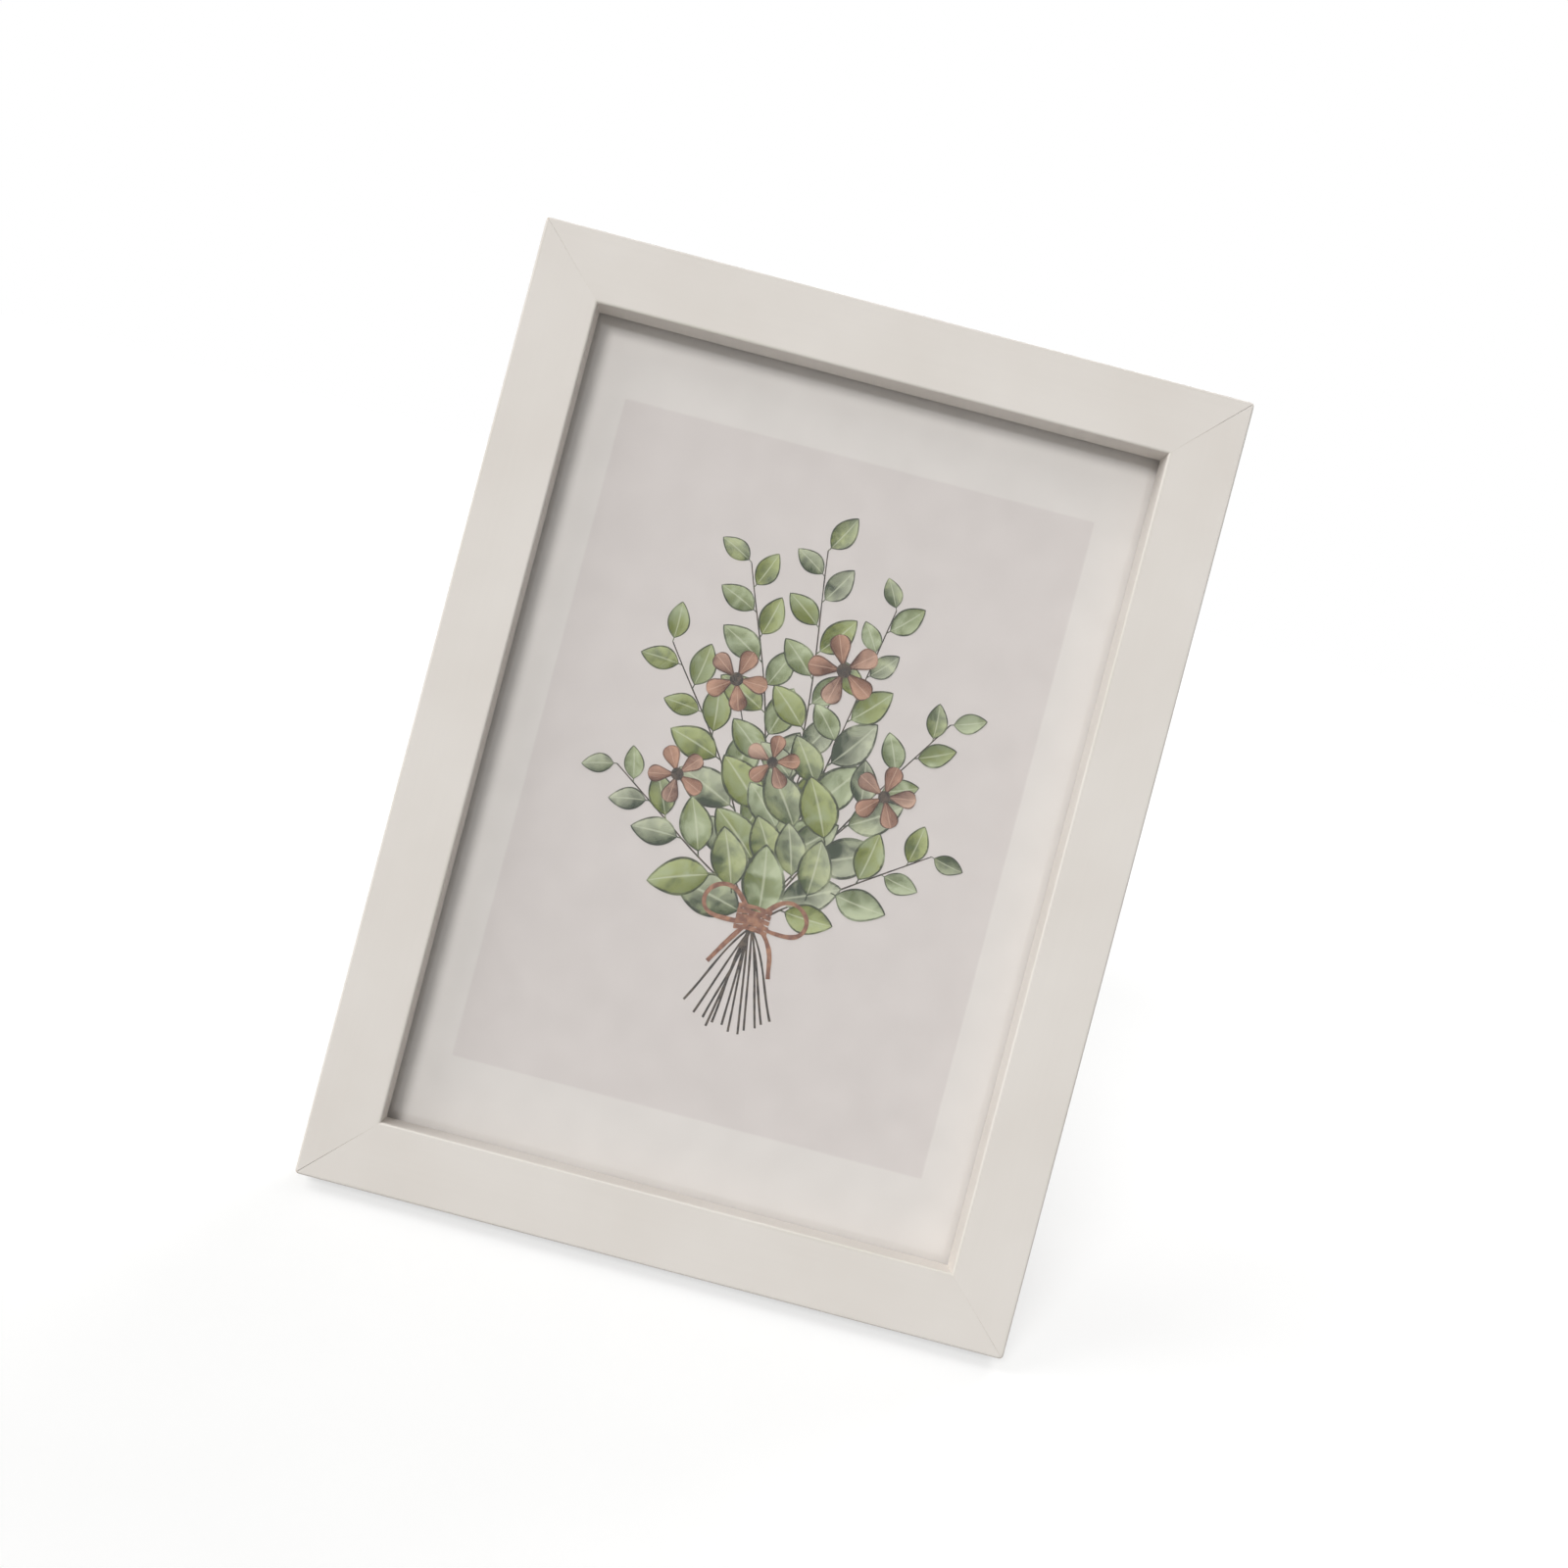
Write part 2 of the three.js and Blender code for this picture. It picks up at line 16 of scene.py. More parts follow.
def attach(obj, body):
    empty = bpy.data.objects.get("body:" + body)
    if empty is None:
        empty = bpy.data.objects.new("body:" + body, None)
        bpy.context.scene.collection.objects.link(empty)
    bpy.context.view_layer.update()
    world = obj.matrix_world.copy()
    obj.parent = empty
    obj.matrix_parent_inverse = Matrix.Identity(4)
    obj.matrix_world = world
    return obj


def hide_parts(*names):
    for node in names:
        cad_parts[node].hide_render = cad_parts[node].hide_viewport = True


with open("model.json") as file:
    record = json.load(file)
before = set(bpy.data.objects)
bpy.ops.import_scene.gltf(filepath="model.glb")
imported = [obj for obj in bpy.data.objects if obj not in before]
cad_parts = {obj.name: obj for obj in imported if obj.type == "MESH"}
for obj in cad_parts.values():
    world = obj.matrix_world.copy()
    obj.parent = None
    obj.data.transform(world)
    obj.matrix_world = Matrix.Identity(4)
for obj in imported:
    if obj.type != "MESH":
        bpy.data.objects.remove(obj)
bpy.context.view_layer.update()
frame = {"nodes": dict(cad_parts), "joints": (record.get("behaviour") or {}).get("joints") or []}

nodes = frame["nodes"]
joints = {joint["name"]: joint for joint in frame["joints"]}
MM = 0.001

# %% [markdown]
# The frame leans back, so its own directions aren't the world's. A turn button's axis is square to the back,
# and gives a matrix from the frame's own axes (x across, y from the face to the back, z up from the bottom
# edge) to where it stands. Every piece is modelled upright and carried over once, which leaves its object at
# the origin.
# %% The frame's own axes
ACROSS = Vector((1, 0, 0))
BACK = Vector(joints["button_left_turn"]["axis"])
UP = ACROSS.cross(BACK)


def axes(origin, x, y, z):
    return Matrix.Translation(origin) @ Matrix((x, y, z)).transposed().to_4x4()


def span(node, place=None):
    """Lowest and highest corner of a CAD node in the axes of a place, or else in the frame's own."""
    home = (STAND if place is None else place).inverted()
    points = [home @ vertex.co for vertex in nodes[node].data.vertices]
    return [Vector([pick(point[i] for point in points) for i in range(3)]) for pick in (min, max)]


leaning = axes((0, 0, 0), ACROSS, BACK, UP)
_, face, bottom = span("rail_bottom", leaning)[0]
STAND = leaning @ Matrix.Translation((0, face, bottom))

CLEARANCE = 0.3 * MM  # what the CAD model leaves between pieces that touch
SHEET_ROOM = 0.5 * MM  # between a sheet's edge and the wall of the rabbet
LEFT = span("rail_left")[0].x
RIGHT = span("rail_right")[1].x
TOP = span("rail_top")[1].z
_, DEPTH, FACE_WIDTH = span("rail_bottom")[1]
LIP_BACK = span("glazing")[0].y - CLEARANCE
RABBET = span("glazing")[0].x - SHEET_ROOM - LEFT  # from the outer edge to its wall
size_mm = [round(v / MM, 1) for v in (RIGHT - LEFT, TOP, DEPTH, FACE_WIDTH, LIP_BACK, RABBET)]
print("width, height, depth, face, reveal, rabbet:", size_mm)

# the strut stands open, so its axes are turned about the hinge from the frame's
OPEN = math.radians(-joints["strut_hinge"]["range_deg"][0])
swing = Matrix.Rotation(OPEN, 3, ACROSS)
LEG = axes(Vector(joints["strut_hinge"]["pos_m"]), ACROSS, swing @ BACK, swing @ UP)

# %% [markdown]
# ## Helpers
# Colours are sRGB hex values, as a picture editor gives them, turned to linear in one place. One function
# adds any node with its settings and links. It is made for one tree, so that a call says only what is new.
# %% Colours
def linear(code):
    """A colour such as #DED9D2 as linear red, green, blue and alpha."""
    parts = [int(code[i : i + 2], 16) / 255 for i in (1, 3, 5)]
    return [p / 12.92 if p <= 0.04045 else ((p + 0.055) / 1.055) ** 2.4 for p in parts] + [1]


# %% Nodes
def fill(node, *inputs, **named):
    """Gives a node its inputs, in their order or by name, with _ for a space. Each is a value, a hex colour,
    an output, or a node, which stands for its first output in use."""
    sockets = [socket for socket in node.inputs if socket.enabled]
    rows = list(zip(sockets, inputs))
    for key, value in named.items():
        rows.append((next(s for s in sockets if s.name == key.replace("_", " ")), value))
    for socket, value in rows:
        if isinstance(value, bpy.types.Node):
            value = next(output for output in value.outputs if output.enabled)
        if isinstance(value, bpy.types.NodeSocket):
            node.id_data.links.new(value, socket)
        elif isinstance(value, str) and value.startswith("#"):
            socket.default_value = linear(value)
        else:
            socket.default_value = value


def adder(tree):
    """The function that adds a node to this tree."""
    shading = tree.type == "SHADER"
    families = ["ShaderNode"] if shading else ["GeometryNode", "FunctionNode", "ShaderNode"]

    def add(kind, *inputs, stops=(), **named):
        """A node of a kind such as TexNoise, which an operation may follow, as in Math ADD. Names in small
        letters are settings, and all others are inputs."""
        kind, _, operation = kind.partition(" ")
        made = tree.nodes.new(next(word + kind for word in families if hasattr(bpy.types, word + kind)))
        settings = {key: named.pop(key) for key in list(named) if key.islower()}
        if operation:
            settings["operation"] = operation
        for key, value in settings.items():
            setattr(made, key, value)
        fill(made, *inputs, **named)
        if stops:
            elements = made.color_ramp.elements
            while len(elements) < len(stops):
                elements.new(0.5)
            for element, (position, code) in zip(elements, stops):
                element.position = position
                element.color = linear(code)
        return made

    return add


# %% Materials
def finish(name, **values):
    """A new material with plain values on its shader's own sockets, its shader, and its adding function."""
    material = bpy.data.materials.new(name)
    material.use_nodes = True
    shader = material.node_tree.nodes["Principled BSDF"]
    fill(shader, **values)
    print("finish:", name)
    return material, shader, adder(material.node_tree)


def feed(shader, colour, rough, relief):
    fill(shader, Base_Color=colour, Roughness=rough, Normal=relief)


def per(size_mm):
    """The scale at which a pattern on metres repeats every so many millimetres."""
    return 1 / (size_mm * MM)


# %% [markdown]
# ## Finishes
# ### White foil
# The moulding is medium-density fibreboard wrapped in a white paper foil. Rollers press the foil on along the
# rail, so it has a faint lengthways grain, a satin sheen and a fine tooth, and hands and packing rub it a
# little shinier and greyer on the arrises. The tooth is too fine to show in the render, so it is drawn about
# three times as coarse. The rails carry their own coordinates in an attribute, because the grain follows
# each rail and not the room.
# %% White foil
FOIL, shader, add = finish("white_paper_foil", IOR=1.5, Specular_IOR_Level=0.22)
place = add("Attribute", attribute_name="rail_place").outputs["Vector"]
drawn = add("Mapping", place, Scale=(1, 1, 0.02))
cloud = add("TexNoise", place, per(60), Detail=3)
grain = add("TexNoise", drawn, per(1.4), Detail=4)
tooth = add("TexNoise", place, per(0.35), Detail=2)
tone = add("ValToRGB", cloud, stops=[(0.3, "#DAD4CD"), (0.7, "#E1DCD6")])
lines = add("MapRange", grain, 0, 1, 0.99, 1.01)
drawn_tone = add("VectorMath SCALE", tone, Scale=lines)
dust = add("TexVoronoi", place, per(25))
speck = add("MapRange", dust, 0.005, 0.01, 0.4, 0)
specked = add("Mix", speck, drawn_tone, "#A39C90", data_type="RGBA")
arris = add("Attribute", attribute_name="arris").outputs["Fac"]
rub = add("TexNoise", drawn, per(1.6), Detail=3)
rubbed = add("MapRange", rub, 0.45, 0.7)
worn = add("Math MULTIPLY", arris, rubbed)
colour = add("Mix", worn, specked, "#D6D1C8", data_type="RGBA")
satin = add("MapRange", tooth, 0, 1, 0.48, 0.62)
rough = add("Math MULTIPLY_ADD", worn, -0.2, satin)
fine = add("Bump", Height=tooth, Strength=0.3, Distance=0.008 * MM)
relief = add("Bump", Height=grain, Strength=0.3, Distance=0.006 * MM, Normal=fine)
feed(shader, colour, rough, relief)

# %% [markdown]
# ### Bare fibreboard, hardboard and card
# Fibreboard shows where the foil ends, on the mitres, in the rabbet and in the middle of the back: light
# brown, matt and furry. Hardboard is the same fibre pressed hot and wet, so it is darker, harder and a little
# shiny, with fine flecks, and its rough side keeps the print of the wire screen that let the steam out. The
# card is grey recycled pulp. One recipe draws them all: fibres and relief from a warped noise, and flecks
# from a second. Real fibres are a tenth of a millimetre wide, and are drawn coarser, so that they show.
# %% Pressed fibre
WIRE_PITCH = 1.5  # millimetres between the wires of the screen


def pressed_fibre(name, dark, light, fleck, rough, fibre_mm, relief_mm, screen=None):
    material, shader, add = finish(name, IOR=1.46, Specular_IOR_Level=0.35)
    place = add("TexCoord").outputs["Object"]
    cloud = add("TexNoise", place, per(30), Detail=4)
    fibres = add("TexNoise", place, per(fibre_mm), Detail=5, Roughness=0.7, Distortion=1.6)
    flecks = add("TexNoise", place, per(fibre_mm * 1.7), Distortion=2.5)
    spread = add("Math MULTIPLY", fibres, 0.85)
    body = add("Math MULTIPLY_ADD", cloud, 0.15, spread)
    tone = add("ValToRGB", body, stops=[(0.36, dark), (0.64, light)])
    spot = add("MapRange", flecks, 0.6, 0.72, 0, 0.6)
    colour = add("Mix", spot, tone, fleck, data_type="RGBA")
    shine = add("MapRange", fibres, 0, 1, rough - 0.1, min(rough + 0.1, 1))
    relief = add("Bump", Height=fibres, Distance=relief_mm * MM)
    if screen:
        # waves across and up the board, where the wires crossed
        turn = screen.inverted().to_euler()
        upright = add("Mapping", place, Rotation=turn, Scale=[per(WIRE_PITCH)] * 3)
        wires = add("SeparateXYZ", upright).outputs
        height = 0
        for way in ("X", "Z"):
            angle = add("Math MULTIPLY", wires[way], 2 * math.pi)
            wave = add("Math SINE", angle)
            height = add("Math ADD", wave, height)
        relief = add("Bump", Height=height, Strength=0.6, Distance=0.03 * MM, Normal=relief)
    feed(shader, colour, shine, relief)
    return material


BROWN = ("#6E4F36", "#8E6B4B", "#4C3626", 0.62, 0.8, 0.03)
HARDBOARD = pressed_fibre("brown_hardboard", *BROWN, STAND)
STRUT_BOARD = pressed_fibre("brown_hardboard_of_strut", *BROWN, LEG)
CORE = pressed_fibre("bare_fibreboard", "#A58A68", "#C4AB8A", "#8B7152", 0.88, 0.5, 0.05)
CARD = pressed_fibre("grey_pulp_card", "#A8A296", "#BDB7AB", "#8A8479", 0.9, 0.6, 0.04)

# %% [markdown]
# ### Zinc-plated steel
# All the hardware is steel with a bright zinc plating. Plating in a barrel leaves it slightly blue, cloudy
# rather than mirror-like, and scratched by one piece rubbing on another. A metal's look is all in its
# roughness, so three patterns drive that: clouds, crystals and scratches. The last two are too fine to show
# at their real size, so they are drawn coarser.
# %% Zinc-plated steel
ZINC, shader, add = finish("zinc_plated_steel", Metallic=1)
place = add("TexCoord").outputs["Object"]
skewed = add("Mapping", place, Rotation=(0.4, 0.7, 0.9), Scale=(1, 0.06, 1))
cloud = add("TexNoise", place, per(5), Detail=4)
scratches = add("TexNoise", skewed, per(0.35), Detail=3)
spangle = add("TexVoronoi", place, per(0.8)).outputs["Color"]
crystal = add("SeparateColor", spangle).outputs["Red"]
tone = add("ValToRGB", cloud, stops=[(0.3, "#A9AEB1"), (0.7, "#C9CCCD")])
dull = add("MapRange", cloud, 0, 1, 0.26, 0.46)
scored = add("Math MULTIPLY_ADD", scratches, 0.16, dull)
rough = add("Math MULTIPLY_ADD", crystal, 0.06, scored)
relief = add("Bump", Height=scratches, Strength=0.4, Distance=0.02 * MM)
feed(shader, tone, rough, relief)

# %% [markdown]
# ### Rubber
# The bumpers are moulded black rubber: matt, and dusty on top, because it blooms as it ages. The bloom
# changes colour, roughness and relief together, so one noise drives all three.
# %% Rubber
RUBBER, shader, add = finish("black_rubber", IOR=1.52, Specular_IOR_Level=0.3)
place = add("TexCoord").outputs["Object"]
bloom = add("TexNoise", place, per(1.5), Detail=5)
tone = add("ValToRGB", bloom, stops=[(0.35, "#252423"), (0.7, "#3B3937")])
rough = add("MapRange", bloom, 0, 1, 0.65, 0.95)
relief = add("Bump", Height=bloom, Strength=0.5, Distance=0.05 * MM)
feed(shader, tone, rough, relief)

# %% [markdown]
# ### Clear plastic
# The front is clear styrene sheet, cast between glass, so it is glossy and only just hazy. Sampled lamplight
# can't find its way through two bending faces, so the glazing passes shadow and diffuse rays straight
# through. The eye still sees the bend and the gloss.
# %% Clear plastic
CLEAR, shader, add = finish("clear_styrene_sheet", IOR=1.49, Specular_IOR_Level=0.3)
place = add("TexCoord").outputs["Object"]
haze = add("TexNoise", place, per(20), Detail=6)
rough = add("MapRange", haze, 0, 1, 0.01, 0.05)
fill(shader, Base_Color="#FCFDFC", Transmission_Weight=1, Roughness=rough)
path = add("LightPath").outputs
unseen = add("Math MAXIMUM", path["Is Shadow Ray"], path["Is Diffuse Ray"])
mixed = add("MixShader", unseen, shader, add("BsdfTransparent"))
fill(CLEAR.node_tree.nodes["Material Output"], Surface=mixed)

# %% [markdown]
# ### Printed paper
# The sheet is coated white paper, so it is smooth with a dull sheen, and its tooth is drawn coarser than it
# is, to show at all. A panel in its middle is printed slightly pink and darker than the border. It is found
# from the sheet's own axes, so a Mapping node first turns the leaning coordinates upright.
# %% Printed paper
PANEL = {"X": 168 * MM, "Z": 235 * MM}
PANEL_BLUR = 0.4 * MM
PAPER, shader, add = finish("coated_printing_paper", IOR=1.5, Specular_IOR_Level=0.25)
place = add("TexCoord").outputs["Object"]
home = STAND.inverted()
shift = home.translation - Vector((0, 0, TOP / 2))
upright = add("Mapping", place, Location=shift, Rotation=home.to_euler())
parts = add("SeparateXYZ", upright).outputs
within = []
for way, size in PANEL.items():
    away = add("Math ABSOLUTE", parts[way])
    within.append(add("MapRange", away, size / 2 - PANEL_BLUR, size / 2 + PANEL_BLUR, 1, 0))
inside = add("Math MULTIPLY", *within)
pulp = add("TexNoise", place, per(12), Detail=5)
border = add("ValToRGB", pulp, stops=[(0.3, "#D9D3CF"), (0.7, "#DED8D4")])
panel = add("ValToRGB", pulp, stops=[(0.3, "#D0C8C5"), (0.7, "#D5CDCA")])
colour = add("Mix", inside, border, panel, data_type="RGBA")
tooth = add("TexNoise", place, per(0.3), Detail=3)
rough = add("MapRange", tooth, 0, 1, 0.55, 0.75)
relief = add("Bump", Height=tooth, Strength=0.4, Distance=0.01 * MM)
feed(shader, colour, rough, relief)

# %% [markdown]
# ### Inks
# A watercolour wash has a dark rim where the pigment dried, a paler middle, pigment that pooled towards the
# stalk, and a pencil or pen line round it. Each petal and leaf carries its own numbers for that: how far a
# point is in from its rim, how far along from its base, on which side of its midrib it is, and a tint for
# the whole leaf.
# %% Washes
INK_GLOSS = {"IOR": 1.45, "Specular_IOR_Level": 0.2}


def wash(name, hues, pale, line, rim_width):
    material, shader, add = finish(name, **INK_GLOSS)
    place = add("TexCoord").outputs["Object"]
    rim, along, side, tint = (
        add("Attribute", attribute_name=word).outputs["Fac"] for word in ("rim", "along", "side", "tint")
    )
    cloud = add("TexNoise", place, per(7), Detail=5, Distortion=0.6)
    bleed = add("TexNoise", place, per(1.1), Detail=4)
    # wet colours run together, so the hue drifts within one leaf
    drift = add("Math MULTIPLY_ADD", cloud, 1.1, tint)
    run = add("Math SUBTRACT", drift, 0.55)
    hue = add("ValToRGB", run, stops=hues)
    # the light half of a wash lies on one side of the midrib, and most pigment near the base
    slope = add("Math MULTIPLY_ADD", side, 0.22, 0.42)
    fall = add("Math MULTIPLY_ADD", along, -0.35, slope)
    pooled = add("Math MULTIPLY_ADD", cloud, 0.9, fall)
    depth = add("MapRange", pooled, 0.42, 0.95)
    # some leaves are mostly water, and dry pale
    thin = add("MapRange", tint, 0.5, 1, 0.4, 0.85)
    light = add("Mix", thin, hue, pale, data_type="RGBA")
    deep = add("VectorMath SCALE", hue, Scale=0.45)
    body = add("Mix", depth, light, deep, data_type="RGBA")
    # the midrib stays pale
    middle = add("Math ABSOLUTE", side)
    rib = add("MapRange", middle, 0.02, 0.09, 0.5, 0)
    veined = add("Mix", rib, body, pale, data_type="RGBA")
    # the rim is drawn with a line that thins and breaks
    edge = add("Math MULTIPLY_ADD", bleed, rim_width, rim_width * 0.4)
    near = add("Math LESS_THAN", rim, edge)
    faint = add("MapRange", cloud, 0.3, 0.55, 0.25, 0.9)
    drawn = add("Math MULTIPLY", near, faint)
    colour = add("Mix", drawn, veined, line, data_type="RGBA")
    rough = add("MapRange", bleed, 0, 1, 0.6, 0.8)
    relief = add("Bump", Height=bleed, Strength=0.3, Distance=0.01 * MM)
    feed(shader, colour, rough, relief)
    return material


GREENS = [(0, "#A9B78C"), (0.25, "#7F9150"), (0.5, "#96A332"), (0.75, "#66793F"), (1, "#44563A")]
RUSTS = [(0, "#B07A5C"), (0.5, "#986046"), (1, "#7A4737")]
LEAF_INK = wash("green_watercolour", GREENS, "#CDD0B6", "#2B3024", 0.04)
PETAL_INK = wash("rust_watercolour", RUSTS, "#D0AD98", "#4A2E24", 0.05)


# %% Pen lines
def pen_line(name, dark, light):
    """Ink laid along a line, thin in places, for stalks, twine and the middles of the flowers."""
    material, shader, add = finish(name, **INK_GLOSS)
    place = add("TexCoord").outputs["Object"]
    cloud = add("TexNoise", place, per(2.2), Detail=6)
    tone = add("ValToRGB", cloud, stops=[(0.4, dark), (0.68, light)])
    rough = add("MapRange", cloud, 0, 1, 0.6, 0.8)
    relief = add("Bump", Height=cloud, Strength=0.3, Distance=0.01 * MM)
    feed(shader, tone, rough, relief)
    return material


STALK_INK = pen_line("dark_stalk_ink", "#29221E", "#5B4C40")
TWINE_INK = pen_line("brown_twine_ink", "#7A5040", "#AC7C60")

# %% [markdown]
# ## Meshes and Geometry Nodes
# A tree gets its sizes through named inputs. They are set by each socket's identifier before the object is
# first evaluated, and then it is turned into a plain mesh, because the export drops instances.
# %% Meshes
SHARP = math.radians(35)
WELD = 1e-7  # points this close are one


def mesh_of(name, vertices, edges=(), faces=(), **columns):
    """A mesh, with a number on each of its points for every column."""
    mesh = bpy.data.meshes.new(name)
    mesh.from_pydata(vertices, edges, faces)
    for word, values in columns.items():
        mesh.attributes.new(word, "FLOAT", "POINT").data.foreach_set("value", values)
    return mesh


def weld(mesh, distance, flatten=False, outwards=False):
    """Merges near points, and if asked, joins faces in one plane and turns all faces outwards."""
    shape = bmesh.new()
    shape.from_mesh(mesh)
    bmesh.ops.remove_doubles(shape, verts=shape.verts, dist=distance)
    if flatten:
        bmesh.ops.dissolve_limit(shape, angle_limit=math.radians(1), verts=shape.verts, edges=shape.edges)
    if outwards:
        bmesh.ops.recalc_face_normals(shape, faces=shape.faces)
    shape.to_mesh(mesh)
    shape.free()


# %% Objects
def show(name, data):
    thing = bpy.data.objects.new(name, data)
    bpy.context.scene.collection.objects.link(thing)
    return thing


def drop(*things):
    for thing in things:
        bpy.data.objects.remove(thing)


def modify(thing, kind, **settings):
    made = thing.modifiers.new(kind.lower(), kind)
    for key, value in settings.items():
        setattr(made, key, value)
    return made


def baked(thing):
    """A plain mesh of an object with its modifiers applied. The object goes."""
    graph = bpy.context.evaluated_depsgraph_get()
    whole = thing.evaluated_get(graph)
    mesh = bpy.data.meshes.new_from_object(whole, preserve_all_data_layers=True, depsgraph=graph)
    drop(thing)
    return mesh


def seat(name, mesh, place, body, slot, *stands_for):
    """Carries a mesh to its place, closes and smooths it, and hangs it on its body."""
    mesh.transform(place)
    weld(mesh, WELD, outwards=True)
    mesh.shade_smooth()
    mesh.set_sharp_from_angle(angle=SHARP)
    shaded = show("shaded", mesh)
    # flat faces stay flat, and only the roundings between them shade as round
    modify(shaded, "WEIGHTED_NORMAL", keep_sharp=True)
    mesh = baked(shaded)
    mesh.name = name
    piece = show(name, mesh)
    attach(piece, body)
    if stands_for:
        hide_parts(*stands_for)
    print(name, len(mesh.polygons), "faces on", body)


# %% Trees
def begin(name, **inputs):
    """A new tree, its inputs, its adding function and one that ends it. Inputs are named by kind."""
    tree = bpy.data.node_groups.new(name, "GeometryNodeTree")
    tree.interface.new_socket(name="Geometry", in_out="OUTPUT", socket_type="NodeSocketGeometry")
    for kind, words in {"Geometry": "Geometry", **inputs}.items():
        for word in words.split():
            tree.interface.new_socket(name=word, in_out="INPUT", socket_type="NodeSocket" + kind)
    given = tree.nodes.new("NodeGroupInput").outputs
    add = adder(tree)

    def end(geometry, material, **selection):
        whole = add("RealizeInstances", geometry)
        made = add("SetMaterial", whole, Material=material, **selection)
        fill(tree.nodes.new("NodeGroupOutput"), made)
        print("tree:", name, "with", len(tree.nodes), "nodes")

    return tree, given, add, end


def grown(tree, data, **values):
    """What a tree makes of a mesh or curve, as a plain mesh."""
    thing = show("base", data)
    modifier = modify(thing, "NODES", node_group=tree)
    for item in tree.interface.items_tree:
        if item.name in values:
            modifier[item.identifier] = values[item.name]
    return baked(thing)


# %% [markdown]
# ## The moulding
# A frame maker cuts four lengths of one moulding at 45 degrees. Boxes with bevels would come close, but one
# section swept along each rail gives all four the same arris, lap and wear. It is drawn once, as a loop of
# points measured from the outer edge and the face. The foil is wrapped round the face, both edges, a little
# way onto the back and under the lip. Elsewhere the board shows bare, a foil's thickness lower.
# %% Section of the moulding
FOIL_THICKNESS = 0.15 * MM
ARRIS = 0.8 * MM
BACK_ARRIS = 0.4 * MM
BACK_LAP = 4 * MM
LIP_LAP = 2.5 * MM
RUB = 2 * ARRIS  # hands and packing rub the foil this far round each arris


def arc(centre, radius, start, end, steps):
    turns = [math.radians(start + (end - start) * i / steps) for i in range(steps + 1)]
    return [(centre[0] + radius * math.cos(t), centre[1] + radius * math.sin(t)) for t in turns]


outer_back = arc((BACK_ARRIS, DEPTH - BACK_ARRIS), BACK_ARRIS, 90, 180, 4)
outer_front = arc((ARRIS, ARRIS), ARRIS, 180, 270, 8)
inner_front = arc((FACE_WIDTH - ARRIS, ARRIS), ARRIS, 270, 360, 8)
lip = arc((FACE_WIDTH - BACK_ARRIS, LIP_BACK - BACK_ARRIS), BACK_ARRIS, 0, 90, 4)
under = LIP_BACK - FOIL_THICKNESS
low = DEPTH - FOIL_THICKNESS
board = [(FACE_WIDTH - LIP_LAP, under), (RABBET, under), (RABBET, low), (BACK_LAP, low)]
# each run of points, and whether it is an arris and bare
runs = (
    ([(BACK_LAP, DEPTH), *outer_back, (0, RUB)], 0, 0),
    (outer_front, 1, 0),
    ([(RUB, 0), (FACE_WIDTH - RUB, 0)], 0, 0),
    (inner_front, 1, 0),
    ([(FACE_WIDTH, RUB), *lip, (FACE_WIDTH - LIP_LAP, LIP_BACK)], 0, 0),
    (board, 0, 1),
)
rows = [((*point, 0), arris, bare) for run, arris, bare in runs for point in run]
points, arrises, bares = zip(*rows)
ring = [(i, (i + 1) % len(rows)) for i in range(len(rows))]
section = show("section", mesh_of("section", points, ring, arris=arrises, bare=bares))
print(len(rows), "points in the section")

# %% [markdown]
# A tree sweeps the loop along a straight path and then slides its rings to the mitre. The mitres are tight at
# the opening, and two of them stand a hair open at the outer corner. The corners were sanded round after
# gluing, so each point near the ends of the path says how far the outer edge is pulled in there.
# %% Tree that sweeps and mitres a rail
words = "Width Soft Low High"
MOULDING, given, add, end = begin("moulding", Object="Section", Float=words, Material="Foil Core")
line = add("MeshToCurve", given["Geometry"])
profile = add("ObjectInfo", given["Section"]).outputs["Geometry"]
loop = add("MeshToCurve", profile)
swept = add("CurveToMesh", line, Profile_Curve=loop, Fill_Caps=True)
place = add("InputPosition")
parts = add("SeparateXYZ", place).outputs
pull = add("InputNamedAttribute", "pull")
# only the outer edge is pulled in, and the face follows it over a short way
pulled = add("MapRange", parts["X"], 0, given["Soft"], pull, 0)
width = add("Math ADD", parts["X"], pulled)
# the joint's opening at this width, half on each side, measured along the rail
side = add("Math SIGN", parts["Z"])
outer = add("MapRange", side, -1, 1, given["Low"], given["High"])
joint = add("MapRange", width, 0, given["Width"], outer, 0)
slack = add("Math MULTIPLY_ADD", joint, math.sqrt(0.5), width)
slide = add("Math MULTIPLY", slack, side)
back = add("Math MULTIPLY", slide, -1)
mitred = add("SetPosition", swept, Offset=add("CombineXYZ", X=pulled, Z=back))
marked = add("StoreNamedAttribute", mitred, Name="rail_place", Value=place, data_type="FLOAT_VECTOR")
wrapped = add("SetMaterial", marked, Material=given["Foil"])
# the cut ends and the strips that the foil leaves are bare
normal = add("SeparateXYZ", add("InputNormal")).outputs["Z"]
endways = add("Math ABSOLUTE", normal)
cut = add("Compare GREATER_THAN", endways, 0.3)
bare = add("InputNamedAttribute", "bare")
open_board = add("Compare GREATER_THAN", bare, 0.75)
core = add("BooleanMath OR", cut, open_board)
end(wrapped, given["Core"], Selection=core)

# %% Four rails
CORNER_ROUND = 1.5 * MM
ROUND_STEPS = 5
TIGHT = 0.05 * MM  # how far a mitre stands open at its outer corner
AJAR = 0.13 * MM
WIDE = RIGHT - LEFT
MIDDLE = (LEFT + RIGHT) / 2


